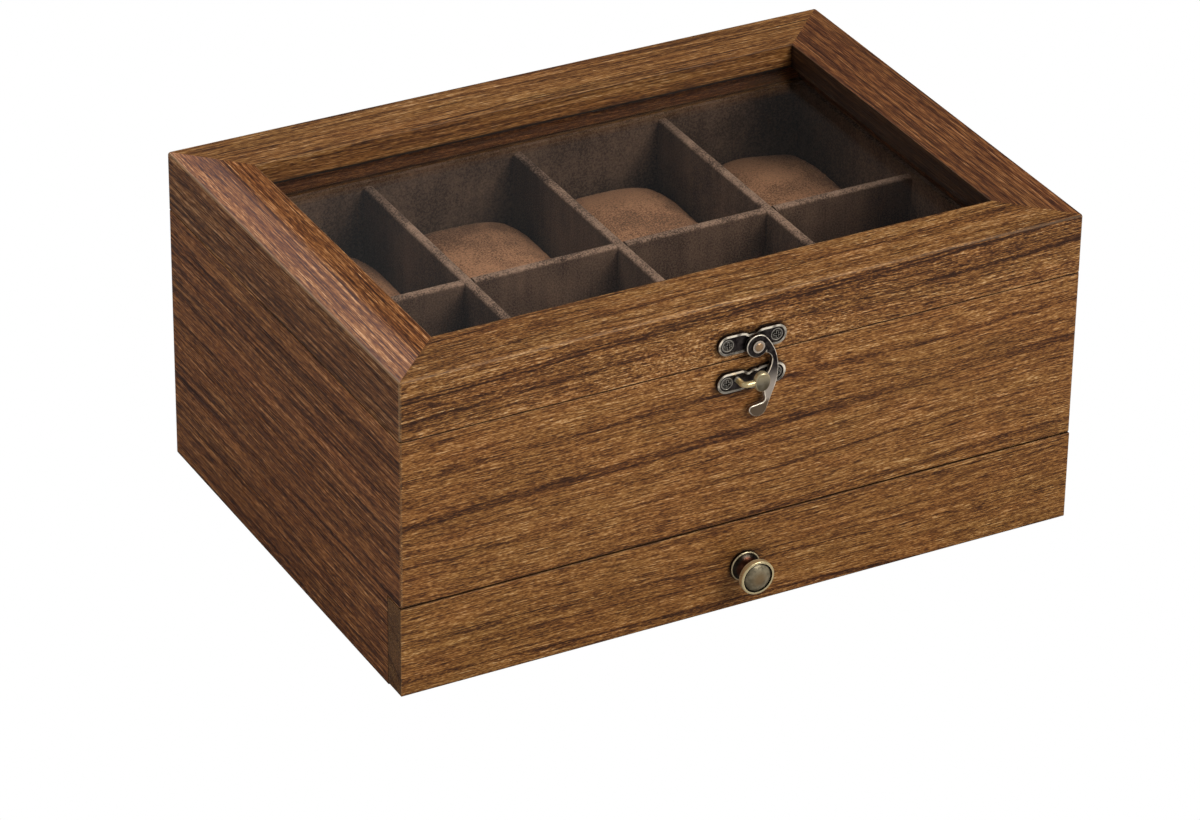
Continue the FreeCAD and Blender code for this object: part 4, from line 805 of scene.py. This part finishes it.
knobValues = {
    # Y where the face begins; clouds of its dome: cycles per m, noise, dark and light colour
    "face": (-0.1035, -0.1045), "duller": 0.3, "cloudScale": 260.0, "clouds": (0.35, 0.7),
    "domeDark": (0.16, 0.132, 0.08), "domeLight": (0.42, 0.355, 0.235),
    # radii in m of the brown middle, the groove with its painted shade, and the rim, with their colours
    "brownRadius": (0.004, 0.0008), "brownAmount": 0.85, "brown": (0.28, 0.185, 0.09),
    "grooveRadius": (0.005, 0.00525), "groove": (0.012, 0.009, 0.005), "unwornRadius": (0.00495, 0.00515),
    "rimRadius": (0.0057, 0.00578), "rim": (0.78, 0.64, 0.36),
    # neck in red-brown painted shade, and the worn edge of the foot behind it: radii, and Y with the amount
    # of wear
    "neckRadius": (0.0046, 0.0036), "neckAmount": 0.85, "neck": (0.09, 0.03, 0.016),
    "footRadius": (0.0052, 0.0056), "footEdge": (-0.096, -0.0964, 0.0, 0.75),
}


def brassKnob(tree, place, base, wornAndLit):
    # bright raised rim, groove in painted shade, olive-grey dome that turns brown towards its middle, neck
    # in red-brown painted shade
    v = knobValues
    radius = fromAxis(tree, place, knobLow, knobHigh)
    y = axes(tree, place)["Y"]
    face = ramp(tree, y, *v["face"])
    cloud = noise(tree, place, scale=v["cloudScale"], detail=4.0, roughness=0.65)
    dome = mix(tree, ramp(tree, cloud, *v["clouds"]), v["domeDark"], v["domeLight"])
    browner = times(tree, ramp(tree, radius, *v["brownRadius"]), v["brownAmount"])
    dome = mix(tree, browner, dome, v["brown"])
    # painted shade: the groove is filled near black
    dome = mix(tree, ramp(tree, radius, *v["grooveRadius"]), dome, v["groove"])
    rim = ramp(tree, radius, *v["rimRadius"])
    front = mix(tree, rim, dome, v["rim"])
    # painted shade: the neck is dark red-brown where its shadow lies
    neck = times(tree, ramp(tree, radius, *v["neckRadius"]), v["neckAmount"])
    behind = mix(tree, neck, base, v["neck"])
    footEdge = times(tree, ramp(tree, radius, *v["footRadius"]), ramp(tree, y, *v["footEdge"]))
    wornAndLit = calc(tree, "MAXIMUM", wornAndLit, times(tree, footEdge, minus(tree, 1.0, face)))
    inGroove = minus(tree, ramp(tree, radius, *v["unwornRadius"]), rim)
    wornAndLit = times(tree, wornAndLit, oneLess(tree, inGroove, face), clamp=True)
    return mix(tree, face, behind, front), oneLess(tree, face, v["duller"]), wornAndLit


paint(metalMaterial("latch", borderedPlate), "latch_plate")
paint(metalMaterial("hook", rubbedHook), "latch_hook")
paint(metalMaterial("catch", brassCatch), "latch_catch")
paint(metalMaterial("rivet", copperRivet), "latch_rivet")
paint(metalMaterial("screws"), "latch_plate_screws", "latch_catch_screws", "drawer_knob_screw",
      "hinge_case_screws", "hinge_lid_screws")
paint(metalMaterial("knob", brassKnob), "drawer_knob")
paint(metalMaterial("hinge"), *[name for name in startingWith("hinge") if "screws" not in name])
print("metal painted")


# pillows

pillowValues = {
    # half sizes in m; the block before stuffing is a little smaller and squarer
    "half": (0.02735, 0.0381, 0.0198), "before": 0.94, "squareness": 4.6,
    # rings and corners of the block, voxel in m; cloth: pressure, steps, quality, most it may swell in m
    "grid": (44, 72), "voxel": 0.0042, "pressure": 4.0, "frames": 20, "quality": 5, "mostSwell": 0.004,
    "smoothing": 2,
    # fall of the top towards the ends and the long sides; how far the sides draw in between the corners
    "crown": 0.2, "fallEnds": 0.75, "fallSides": 0.25, "drawnIn": 0.035,
    # sewn ends: place of the seam along the half length, width and depth in m; puckers round it
    "seamPlace": 0.8, "seamWidth": 0.0012, "seamDepth": 0.0005,
    "puckers": 30, "puckerReach": 0.0045, "puckerDepth": 0.00045,
    # slow waves of the stuffing and their depth in m
    "waves": 5, "unevenness": 0.0008,
    # height under the middle where the pillow lies flat, and how far it is raised, in half heights
    "flatBelow": 0.9, "raised": 0.05,
}


def superCosine(angle, power):
    # the size of the cosine to a power, with the cosine's sign
    return np.sign(np.cos(angle))*np.abs(np.cos(angle))**power


def blockGrid(half, squareness, rings, around):
    # superellipsoid round X: each ring is a rounded rectangle in Y and Z, shrunk towards the two ends
    power = 2.0/squareness
    lengthwise = np.linspace(-math.pi/2, math.pi/2, rings)[:, None]
    turn = np.linspace(0.0, 2*math.pi, around, endpoint=False)[None, :]
    shrink = np.abs(np.cos(lengthwise))**power
    x = superCosine(lengthwise - math.pi/2, power)*half[0] + 0*turn
    y = shrink*superCosine(turn, power)*half[1]
    z = shrink*superCosine(turn - math.pi/2, power)*half[2]
    return np.stack([x, y, z], axis=-1)


def gridFaces(rings, around):
    # each face joins a point, the next one round its ring, and the same two on the next ring
    rows = np.arange(rings - 1)[:, None]*around
    cols = np.arange(around)[None, :]
    nextCols = (cols + 1) % around
    corners = [rows + cols, rows + nextCols, rows + around + nextCols, rows + around + cols]
    return np.stack(corners, axis=-1).reshape(-1, 4)


def vertexArray(mesh):
    flat = np.empty(len(mesh.vertices)*3)
    mesh.vertices.foreach_get("co", flat)
    return flat.reshape(-1, 3)


def keepShape(made):
    # the mesh as its modifiers leave it, with none of them left on the piece
    seen = made.evaluated_get(bpy.context.evaluated_depsgraph_get())
    mesh = bpy.data.meshes.new_from_object(seen)
    made.modifiers.clear()
    made.data = mesh
    return mesh


def blowUp(bag, before):
    # cloth with air inside pushes the bag out, each point by no more than the most it may swell
    v = pillowValues
    cloth = bag.modifiers.new("stuffing", "CLOTH")
    cloth.settings.use_pressure = True
    cloth.settings.uniform_pressure_force = v["pressure"]
    cloth.settings.effector_weights.gravity = 0.0
    cloth.settings.quality = v["quality"]
    scene = bpy.context.scene
    scene.frame_end = v["frames"]
    for number in range(1, v["frames"] + 1):
        scene.frame_set(number)
    after = vertexArray(keepShape(bag))
    scene.frame_set(1)
    move = after - before
    length = np.linalg.norm(move, axis=1, keepdims=True)
    move *= np.minimum(1.0, v["mostSwell"]/np.maximum(length, 1e-9))
    bag.data.vertices.foreach_set("co", (before + move).ravel())


def stuffedForm():
    # a squarish bag is remeshed, blown up a little, subdivided, crowned and drawn in, and sized to its box
    v = pillowValues
    half = np.array(v["half"])
    points = blockGrid(half*v["before"], v["squareness"], *v["grid"]).reshape(-1, 3)
    mesh = bpy.data.meshes.new("bag")
    mesh.from_pydata(points.tolist(), [], gridFaces(*v["grid"]).tolist())
    bag = addObject("bag", mesh)
    remesh = bag.modifiers.new("remesh", "REMESH")
    remesh.mode = "VOXEL"
    remesh.voxel_size = v["voxel"]
    before = vertexArray(keepShape(bag))
    blowUp(bag, before)
    smooth = bag.modifiers.new("smooth", "SUBSURF")
    smooth.levels = v["smoothing"]
    mesh = keepShape(bag)
    points = vertexArray(mesh)
    points *= half/np.abs(points).max(axis=0)
    # the top falls off to all sides, and the sides draw in between the corners
    across, deep = (points[:, 0]/half[0])**2, (points[:, 1]/half[1])**2
    points[:, 2] *= 1.0 - v["crown"]*(v["fallEnds"]*across + v["fallSides"]*deep)
    points[:, 0] *= 1.0 - v["drawnIn"]*(1.0 - deep)
    points[:, 1] *= 1.0 - v["drawnIn"]*(1.0 - across)
    points *= half/np.abs(points).max(axis=0)
    faces = [tuple(face.vertices) for face in mesh.polygons]
    bpy.data.objects.remove(bag)
    return points, faces


def pillowPoints(form, seed):
    # sewn ends with small puckers, slow unevenness of the stuffing, flat where it rests
    v = pillowValues
    half = np.array(v["half"])
    random = np.random.default_rng(seed)
    t = form[:, 0]/half[0]
    angle = np.arctan2(form[:, 2]/half[2], form[:, 1]/half[1])
    fromSeam = (np.abs(t) - v["seamPlace"])*half[0]
    push = -v["seamDepth"]*np.exp(-(fromSeam/v["seamWidth"])**2)
    ripple = 0.5 + 0.5*np.sin(v["puckers"]*angle + 2.0*np.sin(3*angle + seed) + seed)
    push -= v["puckerDepth"]*np.exp(-(fromSeam/v["puckerReach"])**2)*ripple
    for wave in range(v["waves"]):
        along, around, shift = random.uniform(1.0, 4.0), int(random.integers(1, 4)), random.uniform(0, 6.28)
        wavy = np.sin(2*along*t + shift)*np.cos(around*angle + 1.7*shift)
        push += v["unevenness"]/v["waves"]*(wavy - 1.0)
    sideways = np.linalg.norm(form[:, 1:], axis=1)
    points = form.copy()
    points[:, 1:] *= (1.0 + push/np.maximum(sideways, 1e-6))[:, None]
    points[:, 0] *= random.choice([-1.0, 1.0])
    points[:, 2] = np.maximum(points[:, 2], -v["flatBelow"]*half[2]) + v["raised"]*half[2]
    return points


def pillow(name, node, form, faces, seed):
    # the form stands in the middle of its node's box, its foot at the box's foot
    low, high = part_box(node)
    points = pillowPoints(form, seed)
    lift = low.z - points[:, 2].min()
    middle = np.array([(low.x + high.x)/2, (low.y + high.y)/2, lift])
    mesh = bpy.data.meshes.new(name)
    mesh.from_pydata((points + middle).tolist(), [], faces)
    mesh.polygons.foreach_set("use_smooth", np.ones(len(mesh.polygons), dtype=bool))
    mesh.materials.append(pillowVelvet)
    return addObject(name, mesh)


stuffed, stuffedFaces = stuffedForm()
print("pillow form stuffed:", len(stuffed), "points")
for rowName, firstSeed in (("back", 10), ("front", 20)):
    for number in range(1, 5):
        node = "pillow_%s_%d" % (rowName, number)
        made = pillow("cushion_%s_%d" % (rowName, number), node, stuffed, stuffedFaces, firstSeed + number)
        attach(made, node)
        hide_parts(node)
print("pillows made")


# camera, light and background

cameraValues = {
    # place in m, directions of sight and of the picture's right, lens and sensor in mm, nearest and farthest
    "place": (-0.8062, -1.4763, 0.9939), "forward": (0.41307, 0.76333, -0.49669),
    "right": (0.88284, -0.46951, 0.01264), "lens": 158.79, "sensor": 36.0, "near": 0.05, "far": 50.0,
}


def addCamera():
    # the camera looks along forward, and its right is squared to that
    v = cameraValues
    forward = Vector(v["forward"]).normalized()
    right = Vector(v["right"])
    right = (right - forward*right.dot(forward)).normalized()
    up = right.cross(forward)
    turn = Matrix((right, up, -forward)).transposed().to_4x4()
    data = bpy.data.cameras.new("camera")
    data.lens = v["lens"]
    data.sensor_width = v["sensor"]
    data.clip_start, data.clip_end = v["near"], v["far"]
    camera = addObject("camera", data)
    camera.matrix_world = Matrix.Translation(Vector(v["place"])) @ turn
    bpy.context.scene.camera = camera


lightValues = {
    # name: place, power in W, width and height, colour
    "key": ((0.95, -1.75, 1.55), 46.0, (1.4, 1.1), (1.0, 0.985, 0.96)),
    "side": ((-2.1, -0.5, 0.9), 2.0, (1.2, 1.2), (0.97, 0.985, 1.0)),
    "top": ((-0.5, 0.9, 2.2), 24.0, (1.6, 0.9), (1.0, 0.99, 0.98)),
}
lightAim = (0.0, 0.0, 0.06)


def addLights():
    # each lamp is a rectangle that faces the middle of the box and isn't seen itself
    for name, (place, power, extent, color) in lightValues.items():
        data = bpy.data.lights.new(name, "AREA")
        data.shape = "RECTANGLE"
        data.size, data.size_y = extent
        data.energy = power
        data.color = color
        lamp = addObject(name, data)
        lamp.location = place
        lamp.rotation_mode = "QUATERNION"
        lamp.rotation_quaternion = (Vector(lightAim) - Vector(place)).to_track_quat("-Z", "Y")
        lamp.visible_camera = False


roomValues = {
    # grey that shiny things see: brighter to the left than to the right of the line of sight
    "ambient": 0.42, "glossLeft": 0.12, "glossRight": 0.03, "rightward": (0.883, -0.47, 0.0),
    "turnsBetween": (-0.1, 0.08),
    # floor: half its size in m, grey for light and for reflections
    "floorReach": 6.0, "floor": 0.8, "floorGloss": 0.25, "floorRoughness": 0.9,
}


def plainlySeen(tree):
    # 1 for the camera's own rays and those straight through the pane, 0 for light and reflections
    rays = newNode(tree, "LightPath").outputs
    through = times(tree, rays["Is Transmission Ray"], calc(tree, "LESS_THAN", rays["Glossy Depth"], 0.5))
    return calc(tree, "MAXIMUM", rays["Is Camera Ray"], through), rays["Is Glossy Ray"]


def addRoom():
    # the camera sees plain white; other rays see a grey room
    v = roomValues
    world = bpy.data.worlds.new("room")
    bpy.context.scene.world = world
    world.use_nodes = True
    tree = world.node_tree
    seen, glossy = plainlySeen(tree)
    right = vecCalc(tree, "DOT_PRODUCT", coordinate(tree, "Generated"), v["rightward"], output=1)
    gloss = ramp(tree, right, *v["turnsBetween"], v["glossLeft"], v["glossRight"])
    grey = plus(tree, v["ambient"], times(tree, glossy, minus(tree, gloss, v["ambient"])))
    strength = plus(tree, times(tree, seen, minus(tree, 1.0, grey)), grey)
    setAll(tree, tree.nodes["Background"], {"Strength": strength, "Color": (1.0, 1.0, 1.0)})


def addFloor():
    # plain white where it is plainly seen, else a rough grey, darker in reflections
    v = roomValues
    r = v["floorReach"]
    mesh = bpy.data.meshes.new("floor")
    mesh.from_pydata([(-r, -r, 0), (r, -r, 0), (r, r, 0), (-r, r, 0)], [], [(0, 1, 2, 3)])
    floor = addObject("floor", mesh)
    material, tree, shader = newMaterial("floor")
    seen, glossy = plainlySeen(tree)
    dimmed = times(tree, glossy, v["floor"] - v["floorGloss"])
    grey = newNode(tree, "CombineColor")
    for socket in grey.inputs:
        feed(tree, minus(tree, v["floor"], dimmed), socket)
    setAll(tree, shader, {"Base Color": grey.outputs[0], "Roughness": v["floorRoughness"]})
    mixShaders(tree, seen, shader, newNode(tree, "Emission"))
    mesh.materials.append(material)


addCamera()
addLights()
addRoom()
addFloor()
bpy.context.scene.view_settings.view_transform = "Standard"
print("camera, light and room set")
